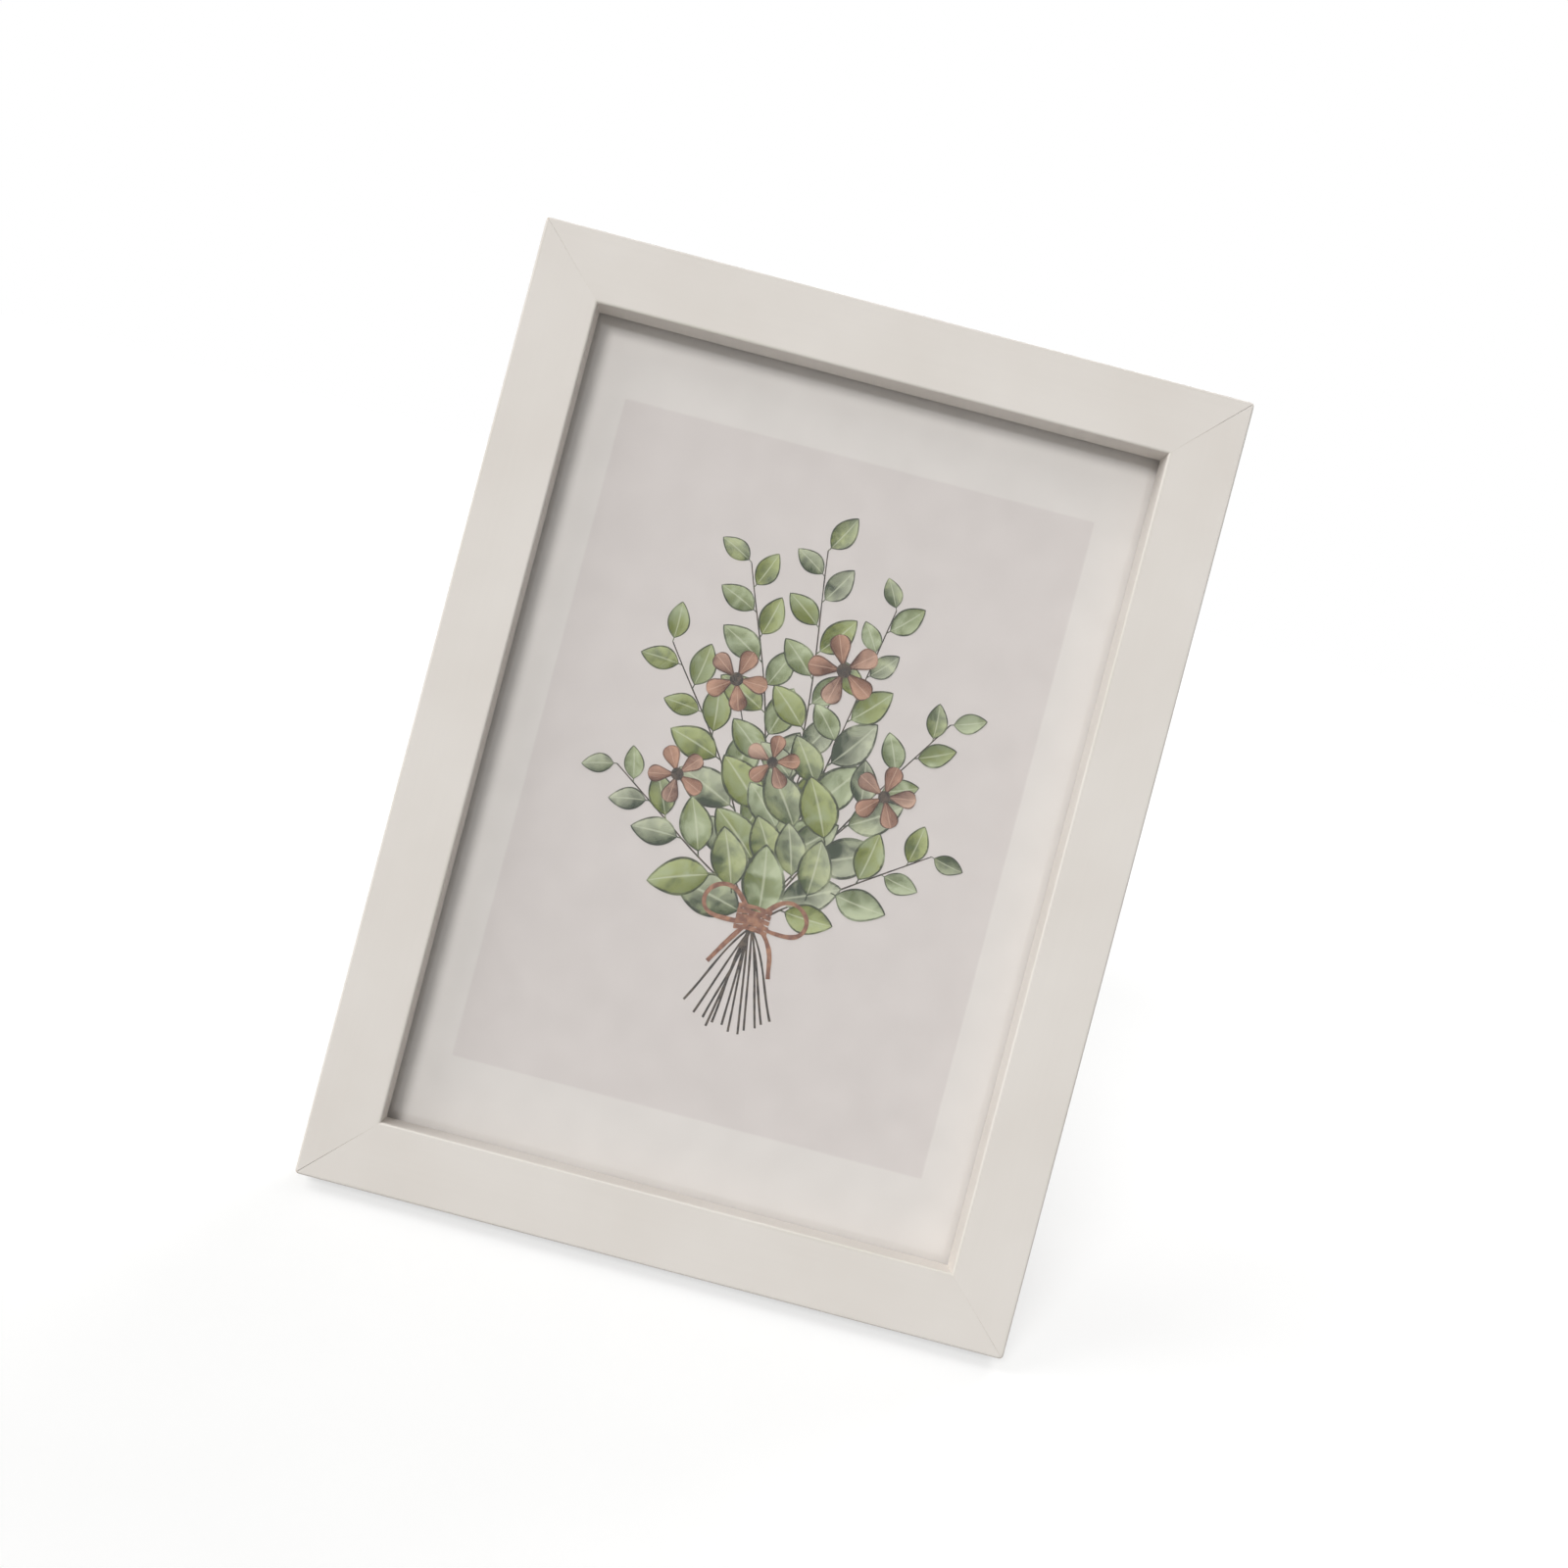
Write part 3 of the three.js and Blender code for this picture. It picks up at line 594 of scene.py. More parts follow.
def rail_path(length):
    """Points along a rail's outer edge, with how far the rounded corners pull each in."""
    turns = [math.pi / 4 * i / ROUND_STEPS for i in range(ROUND_STEPS + 1)]
    near = [(CORNER_ROUND * (math.cos(t) - math.sin(t)), CORNER_ROUND * (1 - math.cos(t))) for t in turns]
    rows = [(away - length / 2, pull) for away, pull in reversed(near)]
    rows += [(length / 2 - away, pull) for away, pull in near]
    steps = [(i, i + 1) for i in range(len(rows) - 1)]
    return mesh_of("rail_path", [(0, 0, z) for z, _ in rows], steps, pull=[pull for _, pull in rows])


rails = {
    "bottom": (WIDE, (MIDDLE, 0, 0), (0, 0, 1), TIGHT, AJAR),
    "left": (TOP, (LEFT, 0, TOP / 2), (1, 0, 0), AJAR, TIGHT),
    "top": (WIDE, (MIDDLE, 0, TOP), (0, 0, -1), TIGHT, AJAR),
    "right": (TOP, (RIGHT, 0, TOP / 2), (-1, 0, 0), AJAR, TIGHT),
}
for word, (length, origin, inwards, low, high) in rails.items():
    sizes = {"Width": FACE_WIDTH, "Soft": RUB, "Low": low, "High": high}
    mesh = grown(MOULDING, rail_path(length), Section=section, Foil=FOIL, Core=CORE, **sizes)
    inwards = Vector(inwards)
    deep = Vector((0, 1, 0))
    own = axes(origin, inwards, deep, inwards.cross(deep))
    seat(f"moulding_{word}", mesh, STAND @ own, "frame", "white_foil", f"rail_{word}")
drop(section)

# %% [markdown]
# ## Sheets and boards
# The glazing, the back and the strut are cut from flat sheet, and the hinge's leaves and the hanger are
# pressed from strip. Their outlines in the CAD model are right, but every cut or pressed edge has a small
# rounding that catches the light. So each of these is a copy of its CAD mesh, joined into whole faces and
# given a fine bevel.
# %% Copies with their edges broken
BROKEN = {"limit_method": "ANGLE", "angle_limit": SHARP}
FACET_WELD = 2e-6


def softened(node, width_mm, material):
    mesh = nodes[node].data.copy()
    mesh.materials.clear()
    mesh.materials.append(material)
    weld(mesh, FACET_WELD, flatten=True)
    thing = show("copy", mesh)
    modify(thing, "BEVEL", width=width_mm * MM, segments=3, **BROKEN)
    return baked(thing)


for name, node, body, slot, width_mm, material in (
    ("clear_front", "glazing", "frame", "clear_plastic", 0.15, CLEAR),
    ("hardboard_back", "backing_board", "frame", "hardboard", 0.25, HARDBOARD),
    ("easel_strut", "strut_board", "strut", "hardboard", 0.3, STRUT_BOARD),
    ("hinge_leaf_on_back", "strut_leaf_back", "frame", "zinc_steel", 0.12, ZINC),
    ("hinge_leaf_on_strut", "strut_leaf_leg", "strut", "zinc_steel", 0.12, ZINC),
    ("hinge_pin", "strut_pin", "frame", "zinc_steel", 0.2, ZINC),
    ("sawtooth_hanger", "hanger", "frame", "zinc_steel", 0.12, ZINC),
):
    seat(name, softened(node, width_mm, material), Matrix(), body, slot, node)

# %% [markdown]
# The print, the card and the V-nails are right as they are, so they keep their CAD meshes and only get their
# materials.
# %% CAD nodes that stay
kept = {"print_sheet": PAPER, "filler_card": CARD}
kept.update({node: ZINC for node in nodes if node.startswith("v_nail_")})
for node, material in kept.items():
    nodes[node].data.materials.clear()
    nodes[node].data.materials.append(material)
print(len(kept), "CAD nodes keep their shape")

# %% [markdown]
# ## Hardware that repeats
# Screws, rivets, nails and bumpers are profiles spun round an axis along y. Each is made once, because parts
# from one machine are alike, and a tree sets it out on points measured from the CAD nodes, which carry a
# turn, a size and a tint.
# %% Tree that sets a shape out on points
SET_OUT, given, add, end = begin("set_out", Object="Shape", Vector="Axis", Material="Finish")
shape = add("ObjectInfo", given["Shape"]).outputs["Geometry"]
turn, size = (add("InputNamedAttribute", word) for word in ("turn", "size"))
about = add("AxisAngleToRotation", given["Axis"], turn)
copies = add("InstanceOnPoints", given["Geometry"], Instance=shape, Rotation=about, Scale=size)
end(copies, given["Finish"])


def set_out(shape, rows, material, axis=(0, 1, 0)):
    """The shape at every row of place, turn, size and tint, as one mesh."""
    places, turns, sizes, tints = zip(*rows)
    spots = mesh_of("spots", places, turn=turns, size=sizes, tint=tints)
    return grown(SET_OUT, spots, Shape=shape, Axis=axis, Finish=material)


# %% Rings and turned shapes
ROUND = 40
DOME_STEPS = 8


def lofted(name, rings, closed=False):
    """A mesh of rings of points, joined one to the next, and if closed, the last to the first."""
    count = len(rings[0])
    faces = []
    for ring in range(len(rings) if closed else len(rings) - 1):
        here, there = ring * count, (ring + 1) % len(rings) * count
        faces += [(here + i, here + j, there + j, there + i) for i, j in enumerate([*range(1, count), 0])]
    mesh = mesh_of(name, [point for ring in rings for point in ring], faces=faces)
    weld(mesh, WELD, outwards=True)
    return mesh


def turned(profile):
    """A mesh spun round the y axis from a list of (radius, y), which starts and ends on the axis."""
    turns = [2 * math.pi * i / ROUND for i in range(ROUND)]
    return lofted("turned", [[(r * math.cos(t), y, r * math.sin(t)) for t in turns] for r, y in profile])


def domed(radius, base, height):
    """The last points of a profile: a dome from a rim up to the axis."""
    turns = [math.pi / 2 * i / DOME_STEPS for i in range(DOME_STEPS)]
    return [(radius * math.cos(t), base + height * math.sin(t)) for t in turns] + [(0, base + height)]


# %% Pieces with heads
def reach(node, place=None):
    """Centre across and up, lowest and highest depth, and radius of a piece whose axis is along y."""
    low, high = span(node, place)
    return (low.x + high.x) / 2, (low.z + high.z) / 2, low.y, high.y, (high.x - low.x) / 2


def headed(node, height, stem, rim, soft, place=None):
    """A turned piece as long as a node, with a domed head. A stem's points have a radius and a distance from
    the tail."""
    *_, low, high, head = reach(node, place)
    tail = high - low - height
    profile = [(0, -tail), *((radius, away - tail) for radius, away in stem)]
    profile += [(radius, 0) for radius, _ in stem[-1:]]
    return turned(profile + [(head - soft, 0), (head, soft), *domed(head, rim, height - rim)])


def under_heads(stands_for, head_height, turns, place=None):
    """Rows for set_out, where the heads of these nodes rest on what they hold."""
    rows = []
    for node, turn in zip(stands_for, turns):
        x, z, _, top, _ = reach(node, place)
        rows.append(((x, top - head_height, z), turn, 1, 0))
    return rows


# %% [markdown]
# A button screw has a pan head. Spinning can't make its cross recess, so two tapered blades cut that out, and
# then the edges are broken, as the punch leaves them.
# %% Screw with a cross recess
BUTTONS = ("bottom_left", "bottom_right", "top_left", "top_right", "left", "right")
SCREW_RADIUS = 1.6 * MM
SCREW_STEM = ((0.5 * MM, 1 * MM), (SCREW_RADIUS, 2.5 * MM))
HEAD_HEIGHT = 2 * MM
HEAD_RIM = 0.7 * MM
HEAD_SOFT = 0.15 * MM
RECESS_DEPTH = 1 * MM
RECESS = (1.7 * MM, 0.45 * MM)  # half the length and width of one slot
OVERRUN = 0.3 * MM  # of the cutters past the head
CORNERS = ((-1, -1), (1, -1), (1, 1), (-1, 1))


def blade(x, z, bottom, top):
    """A block that tapers towards its bottom, along y."""
    corners = []
    for height, share in ((bottom, 0.6), (top, 1.1)):
        corners += [(x * i * share, height, z * j * share) for i, j in CORNERS]
    faces = [(0, 1, 2, 3), (7, 6, 5, 4)] + [(i, 4 + i, 4 + (i + 1) % 4, (i + 1) % 4) for i in range(4)]
    return mesh_of("blade", corners, faces=faces)


replaced = [f"button_screw_{word}" for word in BUTTONS]
screw = show("screw", headed(replaced[0], HEAD_HEIGHT, SCREW_STEM, HEAD_RIM, HEAD_SOFT))
cutters = []
for slot in (RECESS, reversed(RECESS)):
    cutter = show("cutter", blade(*slot, HEAD_HEIGHT - RECESS_DEPTH, HEAD_HEIGHT + OVERRUN))
    modify(screw, "BOOLEAN", operation="DIFFERENCE", object=cutter)
    cutters.append(cutter)
modify(screw, "BEVEL", width=0.06 * MM, segments=2, **BROKEN)
screw_shape = show("screw_shape", baked(screw))
# a hand driver leaves each recess at an angle of its own
rows = under_heads(replaced, HEAD_HEIGHT, [0.4 + 1.1 * i for i in range(len(BUTTONS))])
seat("button_screws", set_out(screw_shape, rows, ZINC), STAND, "frame", "zinc_steel", *replaced)
drop(*cutters, screw_shape)

# %% [markdown]
# Rivets, nails and bumpers need no cut. Two rivets sit in the back and two in the strut, so they make one
# mesh for each body. Those in the strut are measured in its own axes.
# %% Rivets, nails and bumpers
SOFT = 0.12 * MM  # rounding under a head
RIVET = {"height": 1.2 * MM, "stem": [(1.5 * MM, 0)]}
NAIL = {"height": 0.8 * MM, "stem": [(0.2 * MM, 0), (0.9 * MM, 1.8 * MM)]}
BUMPER = {"height": 2.5 * MM, "stem": [], "rim": 0.8 * MM}


def pair(name, stands_for, place, body, slot, material, height, stem, rim=SOFT):
    """Two turned pieces with domed heads, as one mesh."""
    replaced = [f"{stands_for}_{side}" for side in ("left", "right")]
    shape = show("pair", headed(replaced[0], height, stem, rim, SOFT, place))
    rows = under_heads(replaced, height, (0, 0), place)
    seat(name, set_out(shape, rows, material), place, body, slot, *replaced)
    drop(shape)


pair("rivets_in_back", "rivet_back", STAND, "frame", "zinc_steel", ZINC, **RIVET)
pair("rivets_in_strut", "rivet_leg", LEG, "strut", "zinc_steel", ZINC, **RIVET)
pair("hanger_nails", "hanger_nail", STAND, "frame", "zinc_steel", ZINC, **NAIL)
pair("bumpers", "bumper", STAND, "frame", "rubber", RUBBER, **BUMPER)

# %% [markdown]
# ## Turn buttons
# A turn button is a teardrop stamped from strip, with a bead pressed along it to stiffen it. Because the bead
# is pressed and not added, the underside follows it. So rings of points run from the screw hole out to the
# outline, each a share of the way, and one bead lifts both faces. Each button turns on its own screw, so it
# is a body of its own.
# %% Outline and bead of a button
BUTTON_THICKNESS = 1.2 * MM
BUTTON_HEAD = 5 * MM
BUTTON_TIP = 3.2 * MM
BEAD_HEIGHT = 0.6 * MM
BEAD_WIDTH = 1.7 * MM
BEAD_START = BUTTON_HEAD * 0.95


def teardrop(distance):
    """The outline in x and z, round a head at the origin and a tip up at that distance."""
    flat = math.degrees(math.asin((BUTTON_HEAD - BUTTON_TIP) / distance))
    head = arc((0, 0), BUTTON_HEAD, 180 - flat, 360 + flat, 56)
    tip = arc((0, distance), BUTTON_TIP, flat, 180 - flat, 24)
    up, down = (
        [[s + (e - s) * i / 12 for s, e in zip(start, end)] for i in range(1, 12)]
        for start, end in ((head[-1], tip[0]), (tip[-1], head[0]))
    )
    return [*head, *up, *tip, *down]


def bead(x, z, distance):
    """How far the bead between head and tip lifts the sheet at a point."""
    nearest = min(max(z, BEAD_START), distance)
    away = math.hypot(x, z - nearest) / BEAD_WIDTH
    return BEAD_HEIGHT * (1 - away * away) ** 2 if away < 1 else 0


# %% Turn buttons
SHARES = [0, 0.03, 0.1, 0.2, 0.3, 0.38, 0.46, 0.54, 0.62, 0.7, 0.77, 0.83, 0.88, 0.92, 0.95, 0.97, 0.985, 1]
STAMPED_EDGE = 0.25 * MM
UNDERSIDE = 0.9  # how much of the bead the underside shows
HOLE = SCREW_RADIUS + CLEARANCE
POINTING = {"bottom": 0, "top": math.pi, "left": math.pi / 2, "right": -math.pi / 2}


def turn_button(distance):
    """Rings that run out over the underside from the hole, and back over the top."""
    rings = []
    for share, upper in [(share, False) for share in SHARES] + [(share, True) for share in SHARES[::-1]]:
        ring = []
        for x, z in teardrop(distance):
            turn = math.atan2(z, x)
            near = (HOLE * math.cos(turn), HOLE * math.sin(turn))
            across, along = (n + (f - n) * share for n, f in zip(near, (x, z)))
            # distance in from the nearer cut edge, which stamping leaves round
            inwards = min(share, 1 - share) * math.dist(near, (x, z)) / STAMPED_EDGE
            fall = STAMPED_EDGE * (1 - math.sqrt(1 - (1 - min(inwards, 1)) ** 2))
            lift = bead(across, along, distance)
            height = BUTTON_THICKNESS + lift - fall if upper else lift * UNDERSIDE + fall
            ring.append((across, height, along))
        rings.append(ring)
    return lofted("turn_button", rings, closed=True)


low, high = span("turn_button_bottom_left")
button_shape = show("button_shape", turn_button(high.z - low.z - BUTTON_HEAD - BUTTON_TIP))
for word in BUTTONS:
    x, z, *_ = reach(f"button_screw_{word}")
    seated = span(f"turn_button_{word}")[0].y
    mesh = set_out(button_shape, [((x, seated, z), POINTING[word.split("_")[0]], 1, 0)], ZINC)
    seat(f"button_plate_{word}", mesh, STAND, f"button_{word}", "zinc_steel", f"turn_button_{word}")
drop(button_shape)

# %% [markdown]
# ## The print
# The sheet shows a painted bunch of sprigs: green leaves on dark stalks, a few rust-coloured flowers, and a
# twist of brown twine. A pattern in the paper's material couldn't follow every leaf, so each wash is a thin
# shape of its own. All are drawn flat, in millimetres from the sheet's centre, and laid on the paper in
# layers a few thousandths of a millimetre apart.
# %% The plane of the print
REDUCED = 0.88  # the bunch was drawn a little large for the sheet
INK = 0.002 * MM  # thickness of one wash
STALK_LAYER = 0.004 * MM
LEAF_LAYER = 0.012 * MM
LEAF_STEP = 0.0022 * MM
FLOWER_LAYER = 0.235 * MM
PETAL_STEP = 0.0026 * MM
DISC_LAYER = FLOWER_LAYER + 0.032 * MM
TWINE_LAYER = FLOWER_LAYER - 0.01 * MM
low, high = span("print_sheet")
paper_centre = Vector((MIDDLE, low.y, (low.z + high.z) / 2))
ART = axes(STAND @ paper_centre, ACROSS, UP, -BACK) @ Matrix.Scale(REDUCED, 4)


def curves(lines):
    """Smooth splines through rows of points in millimetres."""
    data = bpy.data.curves.new("lines", "CURVE")
    data.dimensions = "3D"
    data.resolution_u = 16
    for line in lines:
        spline = data.splines.new("BEZIER")
        spline.bezier_points.add(len(line) - 1)
        for point, (x, y) in zip(spline.bezier_points, line):
            point.co = (x * MM, y * MM, 0)
            point.handle_left_type = point.handle_right_type = "AUTO"
    return data


SPRIGS = [
    [(17, -93), (5, -52), (-17, -4), (-53, 46)],
    [(11, -97), (4, -52), (-9, 22), (-31, 84)],
    [(4, -95), (5, -52), (6, 22), (-3, 96)],
    [(-2, -97), (6, -52), (18, 14), (29, 80)],
    [(-8, -93), (7, -52), (31, -6), (61, 42)],
    [(-13, -89), (7, -53), (38, -30), (67, -10)],
    [(22, -89), (4, -53), (-30, -28), (-62, -6)],
]
FLOWERS = [
    [(13, -95), (5, -52), (-8, -4), (-25, 38)],
    [(7, -97), (5, -52), (9, 10), (15, 52)],
    [(0, -95), (6, -52), (24, -18), (43, 8)],
    [(19, -91), (4, -53), (-18, -24), (-38, -4)],
    [(-4, -94), (6, -52), (4, -14), (-3, 10)],
]
print(len(SPRIGS), "sprigs and", len(FLOWERS), "flowers")

# %% [markdown]
# Stalks and twine are thin flat bands that taper along their lines, a little uneven, as a brush leaves them.
# One tree sweeps them all.
# %% Tree for stalks and twine
PATH_POINTS = 48
RIBBON, given, add, end = begin("ribbon", Float="Width Tip Thickness Level", Material="Finish")
smooth = add("ResampleCurve", given["Geometry"], Count=PATH_POINTS)
taper = add("MapRange", add("SplineParameter"), 0, 1, 1, given["Tip"])
wobble = add("TexNoise", Scale=per(9), Detail=2)
uneven = add("MapRange", wobble, 0, 1, 0.55, 1.45)
wide = add("Math MULTIPLY", taper, uneven)
profile = add("CurvePrimitiveQuadrilateral", Width=given["Width"], Height=given["Thickness"])
band = add("CurveToMesh", smooth, Profile_Curve=profile, Scale=wide, Fill_Caps=True)
lifted = add("SetPosition", band, Offset=add("CombineXYZ", Z=given["Level"]))
end(lifted, given["Finish"])

# %% [markdown]
# The tree for leaves walks along each stalk, leans every second leaf the other way, makes them smaller
# towards the tip and gives each its tint. So a whole sprig is one row of points.
# %% Tree for leaves
words = "Bare Spacing Length Tip Spread Level Step"
LEAVES, given, add, end = begin("leaves", Object="Leaf", Float=words, Int="Seed", Material="Finish")
smooth = add("ResampleCurve", given["Geometry"], Count=PATH_POINTS)
marked = add("StoreNamedAttribute", smooth, Name="way", Value=add("SplineParameter"))
leafy = add("TrimCurve", marked, Start=given["Bare"])
spots = add("CurveToPoints", leafy, Length=given["Spacing"], mode="LENGTH").outputs
index = add("InputIndex")
# every leaf has its own level, so that none lies in another
rise = add("Math MULTIPLY_ADD", index, given["Step"], given["Level"])
stacked = add("SetPosition", spots["Points"], Offset=add("CombineXYZ", Z=rise))
side = add("Math MULTIPLY_ADD", add("Math MODULO", index, 2), 2, -1)
course = add("SeparateXYZ", spots["Tangent"]).outputs
heading = add("Math ARCTAN2", course["Y"], course["X"])
lean = add("RandomValue", Min=0.72, Max=1.25, Seed=given["Seed"])
spread = add("Math MULTIPLY", lean, given["Spread"])
angle = add("Math MULTIPLY_ADD", side, spread, heading)
turn = add("AxisAngleToRotation", (0, 0, 1), angle)
far = add("InputNamedAttribute", "way")
shrink = add("MapRange", far, given["Bare"], 1, 1, given["Tip"])
vary = add("RandomValue", Min=0.8, Max=1.15, Seed=add("Math ADD", given["Seed"], 7))
share = add("Math MULTIPLY", shrink, vary)
size = add("Math MULTIPLY", share, given["Length"])
leaf = add("ObjectInfo", given["Leaf"]).outputs["Geometry"]
placed = add("InstanceOnPoints", stacked, Instance=leaf, Rotation=turn, Scale=size)
tint = add("RandomValue", Seed=add("Math ADD", given["Seed"], 19))
tinted = add("StoreNamedAttribute", placed, Name="tint", Value=tint, domain="INSTANCE")
end(tinted, given["Finish"])

# %% [markdown]
# A leaf and a petal are drawn once, one unit long, on a grid from base to tip and from rim to rim, because
# its steps give each point the numbers that the wash reads. Solidify gives the wash its thickness.
# %% Shapes of a leaf and a petal
GRID = (22, 10)  # steps along and over
TIP_WELD = 1e-5


def blade_shape(name, half_width, thickness, bend=0):
    """A flat leaf or petal along x, as wide as half_width says at each share of its length."""
    along, over = GRID
    rows = []
    for i in range(along + 1):
        u = i / along
        half = half_width(u)
        for v in (2 * j / over - 1 for j in range(over + 1)):
            rows.append(((u, v * half + bend * u * u, 0), (1 - abs(v)) * half, u, v))
    corners = [i * (over + 1) + j for i in range(along) for j in range(over)]
    faces = [(a, a + over + 1, a + over + 2, a + 1) for a in corners]
    vertices, rims, shares, sides = zip(*rows)
    mesh = mesh_of(name, vertices, faces=faces, rim=rims, along=shares, side=sides)
    weld(mesh, TIP_WELD)
    thing = show(name, mesh)
    modify(thing, "SOLIDIFY", thickness=thickness, offset=1)
    return thing


def leaf_half(u):
    """A short stalk, and then a blade that is widest before its middle."""
    stalk = 0.012 if u < 0.12 else 0
    body = max(u - 0.1, 0) / 0.9
    return max(stalk * (1 - u), 0.28 * math.sin(math.pi * body**0.85) ** 0.8 if 0 < body < 1 else 0)


def petal_half(u):
    """Widest near the outer end."""
    return 0.36 * math.sin(math.pi * u**1.7) ** 0.55 * (0.35 + 0.65 * u) if 0 < u < 1 else 0


LEAF_LENGTH = 28 * MM
PETAL_LENGTH = 11 * MM
leaf_shape = blade_shape("leaf", leaf_half, INK / LEAF_LENGTH, bend=0.08)
petal_shape = blade_shape("petal", petal_half, INK / PETAL_LENGTH)
print(len(petal_shape.data.vertices), "points in a petal")

# %% Stalks and leaves on the sheet
def lay(name, mesh):
    seat(name, mesh, ART, "frame", "printed_paper")


band = {"Width": 0.95 * MM, "Tip": 0.5, "Thickness": INK, "Level": STALK_LAYER}
lay("print_stalks", grown(RIBBON, curves(SPRIGS + FLOWERS), Finish=STALK_INK, **band))
sizes = {"Bare": 0.36, "Spacing": 9.5 * MM, "Length": LEAF_LENGTH, "Tip": 0.55, "Spread": math.radians(42)}
steps = {"Level": LEAF_LAYER, "Step": LEAF_STEP, "Seed": 4}
lay("print_leaves", grown(LEAVES, curves(SPRIGS), Leaf=leaf_shape, Finish=LEAF_INK, **sizes, **steps))

# %% Flowers on the sheet
PETALS = 5
LEVELS = 10  # petals further apart than this in the row never overlap
FLOWER_RADII = (13.5, 14.5, 12, 12.5, 11)
PAINTERS_TURN = 0.7  # each flower is turned on by this, in radians
DISC_SHARE = 0.2  # of a flower's radius
DISC_HALF = 0.0005  # half the thickness of a disc whose radius is 1
petal_rows = []
disc_rows = []
for k, (line, radius) in enumerate(zip(FLOWERS, FLOWER_RADII)):
    x, y = (part * MM for part in line[-1])
    for i in range(PETALS):
        level = FLOWER_LAYER + (k * PETALS + i) % LEVELS * PETAL_STEP
        turn = 2 * math.pi * i / PETALS + PAINTERS_TURN * k
        size = radius * MM * (1 + 0.06 * ((i * 3 + k) % 3 - 1))
        petal_rows.append(((x, y, level), turn, size, 0.37 * (i + 2 * k) % 1))
    disc_rows.append(((x, y, DISC_LAYER), 0, radius * MM * DISC_SHARE, 0.5))
NORMAL = (0, 0, 1)
lay("print_petals", set_out(petal_shape, petal_rows, PETAL_INK, NORMAL))
top = 2 * DISC_HALF
disc = show("disc", turned([(0, 0), (0.9, 0), (1, DISC_HALF), (0.9, top), (0, top)]))
disc.data.transform(Matrix.Rotation(math.pi / 2, 4, "X"))
lay("print_flower_middles", set_out(disc, disc_rows, STALK_INK, NORMAL))
drop(leaf_shape, petal_shape, disc)

# %% Twine on the sheet
TURN_PITCH = 2.1
TWINE = [[(-1.5, y - 56), (5, y - 55.4), (12, y - 56.2)] for y in (TURN_PITCH * i for i in range(5))]
TWINE += [
    [(5.5, -51), (-9, -41), (-15, -50), (-3, -54), (5.5, -51)],
    [(5.5, -51), (20, -42), (26, -51), (14, -55), (5.5, -51)],
    [(5.5, -51), (-2, -62), (-8, -72)],
    [(5.5, -51), (14, -61), (17, -73)],
]
band = {"Width": 1.9 * MM, "Tip": 0.9, "Thickness": INK, "Level": TWINE_LAYER}
lay("print_twine", grown(RIBBON, curves(TWINE), Finish=TWINE_INK, **band))

# %% [markdown]
# ## Floor, light and camera
# A bright floor would throw light up into the opening's top wall, which is dark in the photograph. So the
# floor is grey to other light, and lifted to white where it is seen: by the camera, in gloss or through
# plastic. It meets the white background without a line, and keeps the shadow.
# %% Floor
FLOOR_LIFT = 0.6  # what the lamps leave short of white
FLOOR_REACH = 3


def seen_directly(add):
    """1 for rays from the camera and for those in gloss or through plastic."""
    path = add("LightPath").outputs
    gloss = add("Math MAXIMUM", path["Is Camera Ray"], path["Is Glossy Ray"])
    return add("Math MAXIMUM", gloss, path["Is Transmission Ray"])


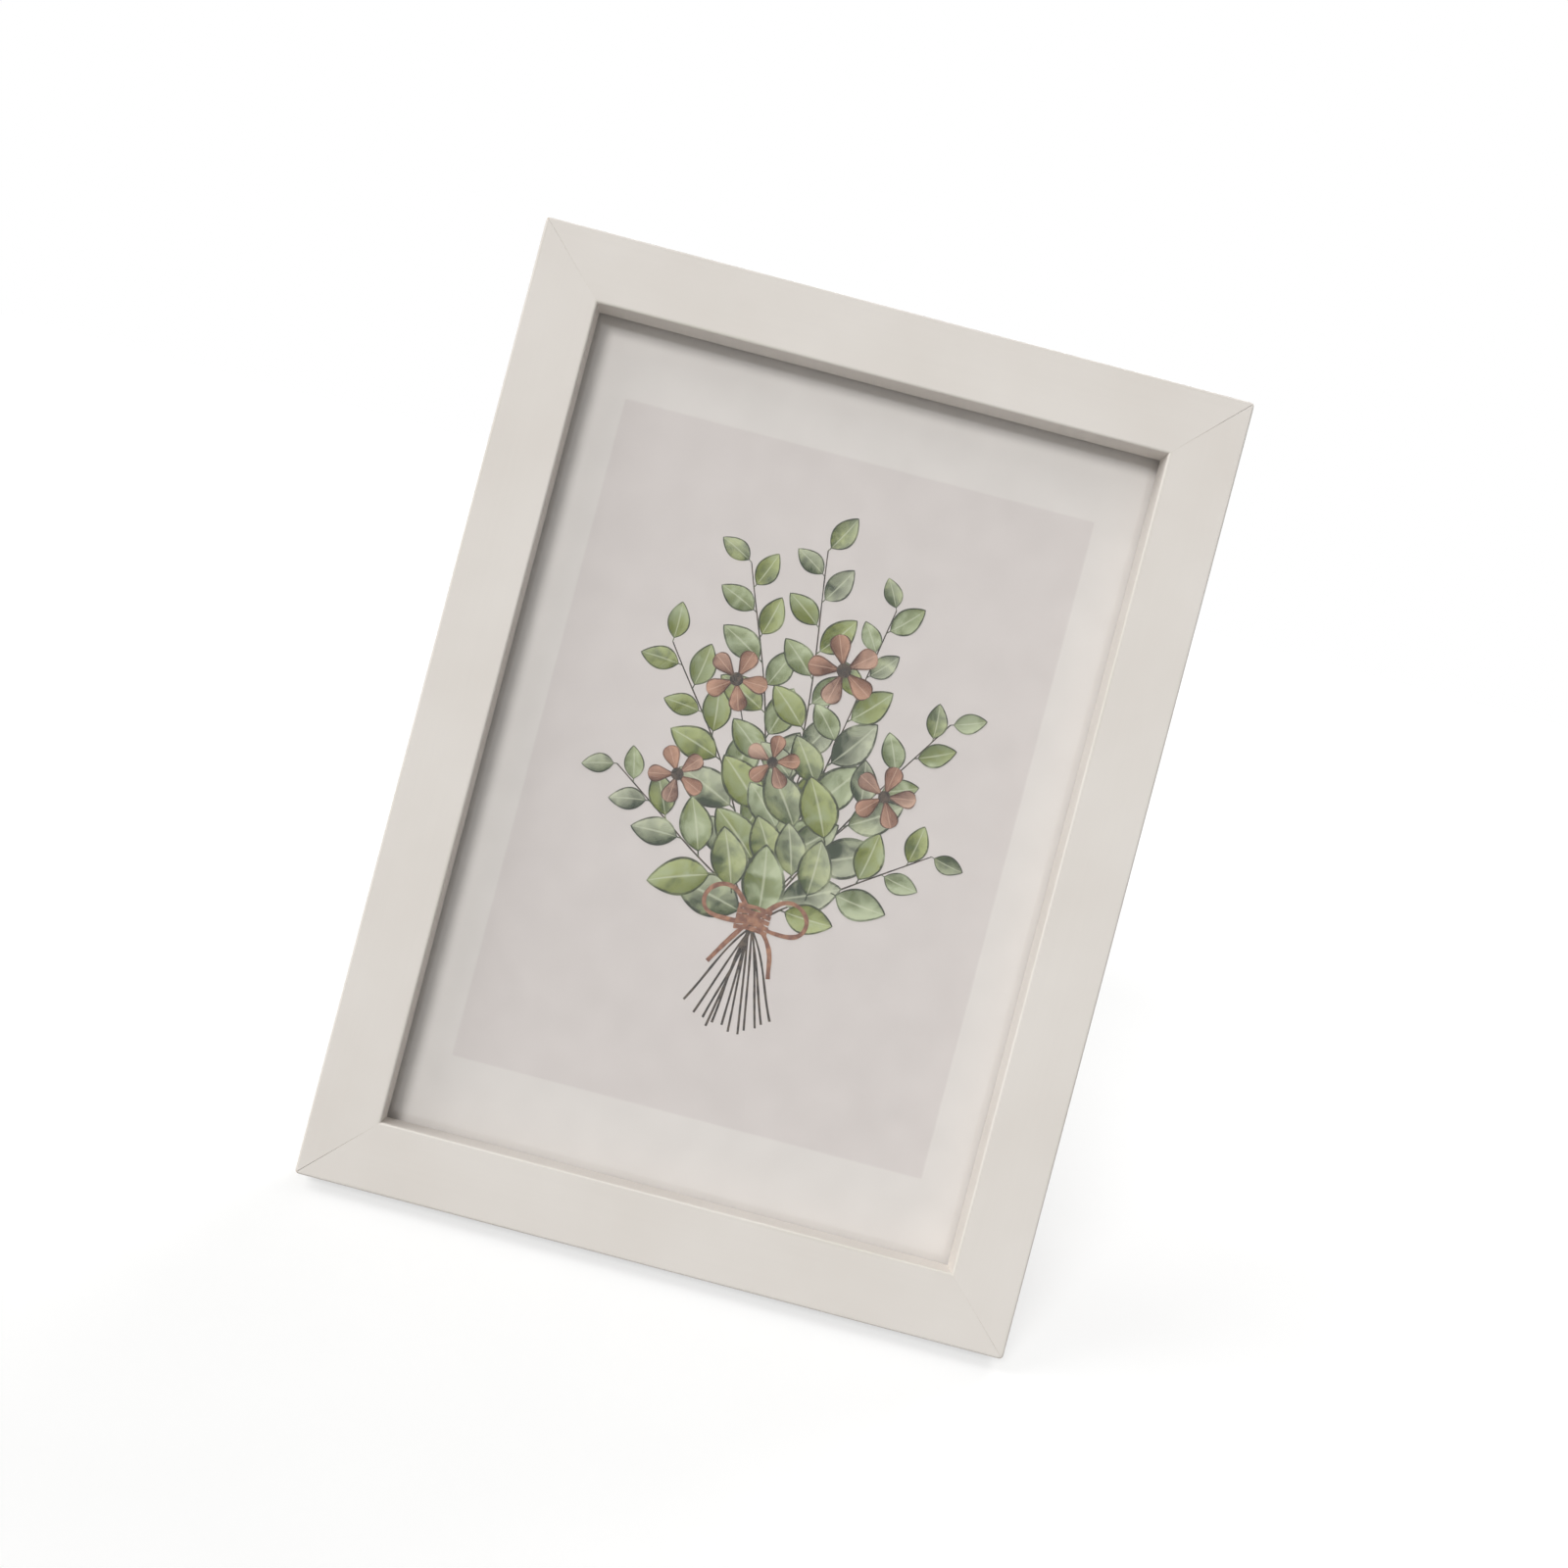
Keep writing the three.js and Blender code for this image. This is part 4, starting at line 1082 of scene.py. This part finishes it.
corners = [(x * FLOOR_REACH, y * FLOOR_REACH, 0) for x, y in CORNERS]
ground = mesh_of("ground", corners, faces=[(0, 1, 2, 3)])
FLOOR, shader, add = finish("pale_floor", Roughness=0.9, Specular_IOR_Level=0.1)
place = add("TexCoord").outputs["Object"]
speck = add("TexNoise", place, per(60), Detail=3)
tone = add("ValToRGB", speck, stops=[(0.3, "#A9A9A8"), (0.7, "#ABABAA")])
lift = add("Math MULTIPLY", seen_directly(add), FLOOR_LIFT)
fill(shader, Base_Color=tone, Emission_Color="#FFFFFF", Emission_Strength=lift)
ground.materials.append(FLOOR)
show("floor", ground)

# %% [markdown]
# A broad lamp stands at the upper left in front, so the opening's top and left walls are in shade, as in the
# photograph. A softer one nearer the side lights the other two. One behind keeps the back readable, and the
# sky fills in the rest.
# %% Sky and lamps
world = bpy.data.worlds.new("studio")
world.use_nodes = True
bpy.context.scene.world = world
add = adder(world.node_tree)
sky = world.node_tree.nodes["Background"]
fill(sky, "#FFFFFF", 0.29)
mixed = add("MixShader", seen_directly(add), sky, add("Background", "#FFFFFF"))
fill(world.node_tree.nodes["World Output"], Surface=mixed)


def lamp(name, towards, strength, spread, glare=False):
    """A lamp far away, whose light is softened over so many degrees."""
    light = bpy.data.lights.new(name, "SUN")
    light.energy = strength
    light.angle = math.radians(spread)
    thing = show(name, light)
    thing.rotation_euler = towards.to_track_quat("Z", "Y").to_euler()
    thing.visible_glossy = thing.visible_transmission = glare
    print("lamp:", name)


# the photograph shows no glare on the plastic, as behind a polarising filter
lean = STAND.to_3x3()
lamp("key", lean @ Vector((-0.35, -1, 0.34)), 1.72, 17)
lamp("side", lean @ Vector((-1, -0.4, 0.85)), 1.5, 40)
lamp("behind", Vector((0.45, 1, 0.75)), 1.3, 30, glare=True)

# %% [markdown]
# The photograph was taken square to the face from about 0.6 m, turned by 15 degrees, and the lens's axis met
# the face a little left of and below its middle. These numbers come from the frame's four corners in it.
# %% Camera
VIEW_DISTANCE = 588 * MM
VIEW_LEFT = 17.9 * MM
VIEW_BELOW = 17.6 * MM
ROLL = math.radians(14.8)
eye = STAND @ Vector((MIDDLE - VIEW_LEFT, -VIEW_DISTANCE, TOP / 2 - VIEW_BELOW))
lens = bpy.data.cameras.new("camera")
lens.lens = 39.9
lens.shift_x = 0.047
lens.shift_y = 0.026
camera = show("camera", lens)
camera.matrix_world = axes(eye, ACROSS, UP, -BACK) @ Matrix.Rotation(ROLL, 4, "Z")
bpy.context.scene.camera = camera
bpy.context.scene.view_settings.view_transform = "Standard"
print("camera at", [round(v, 3) for v in eye])
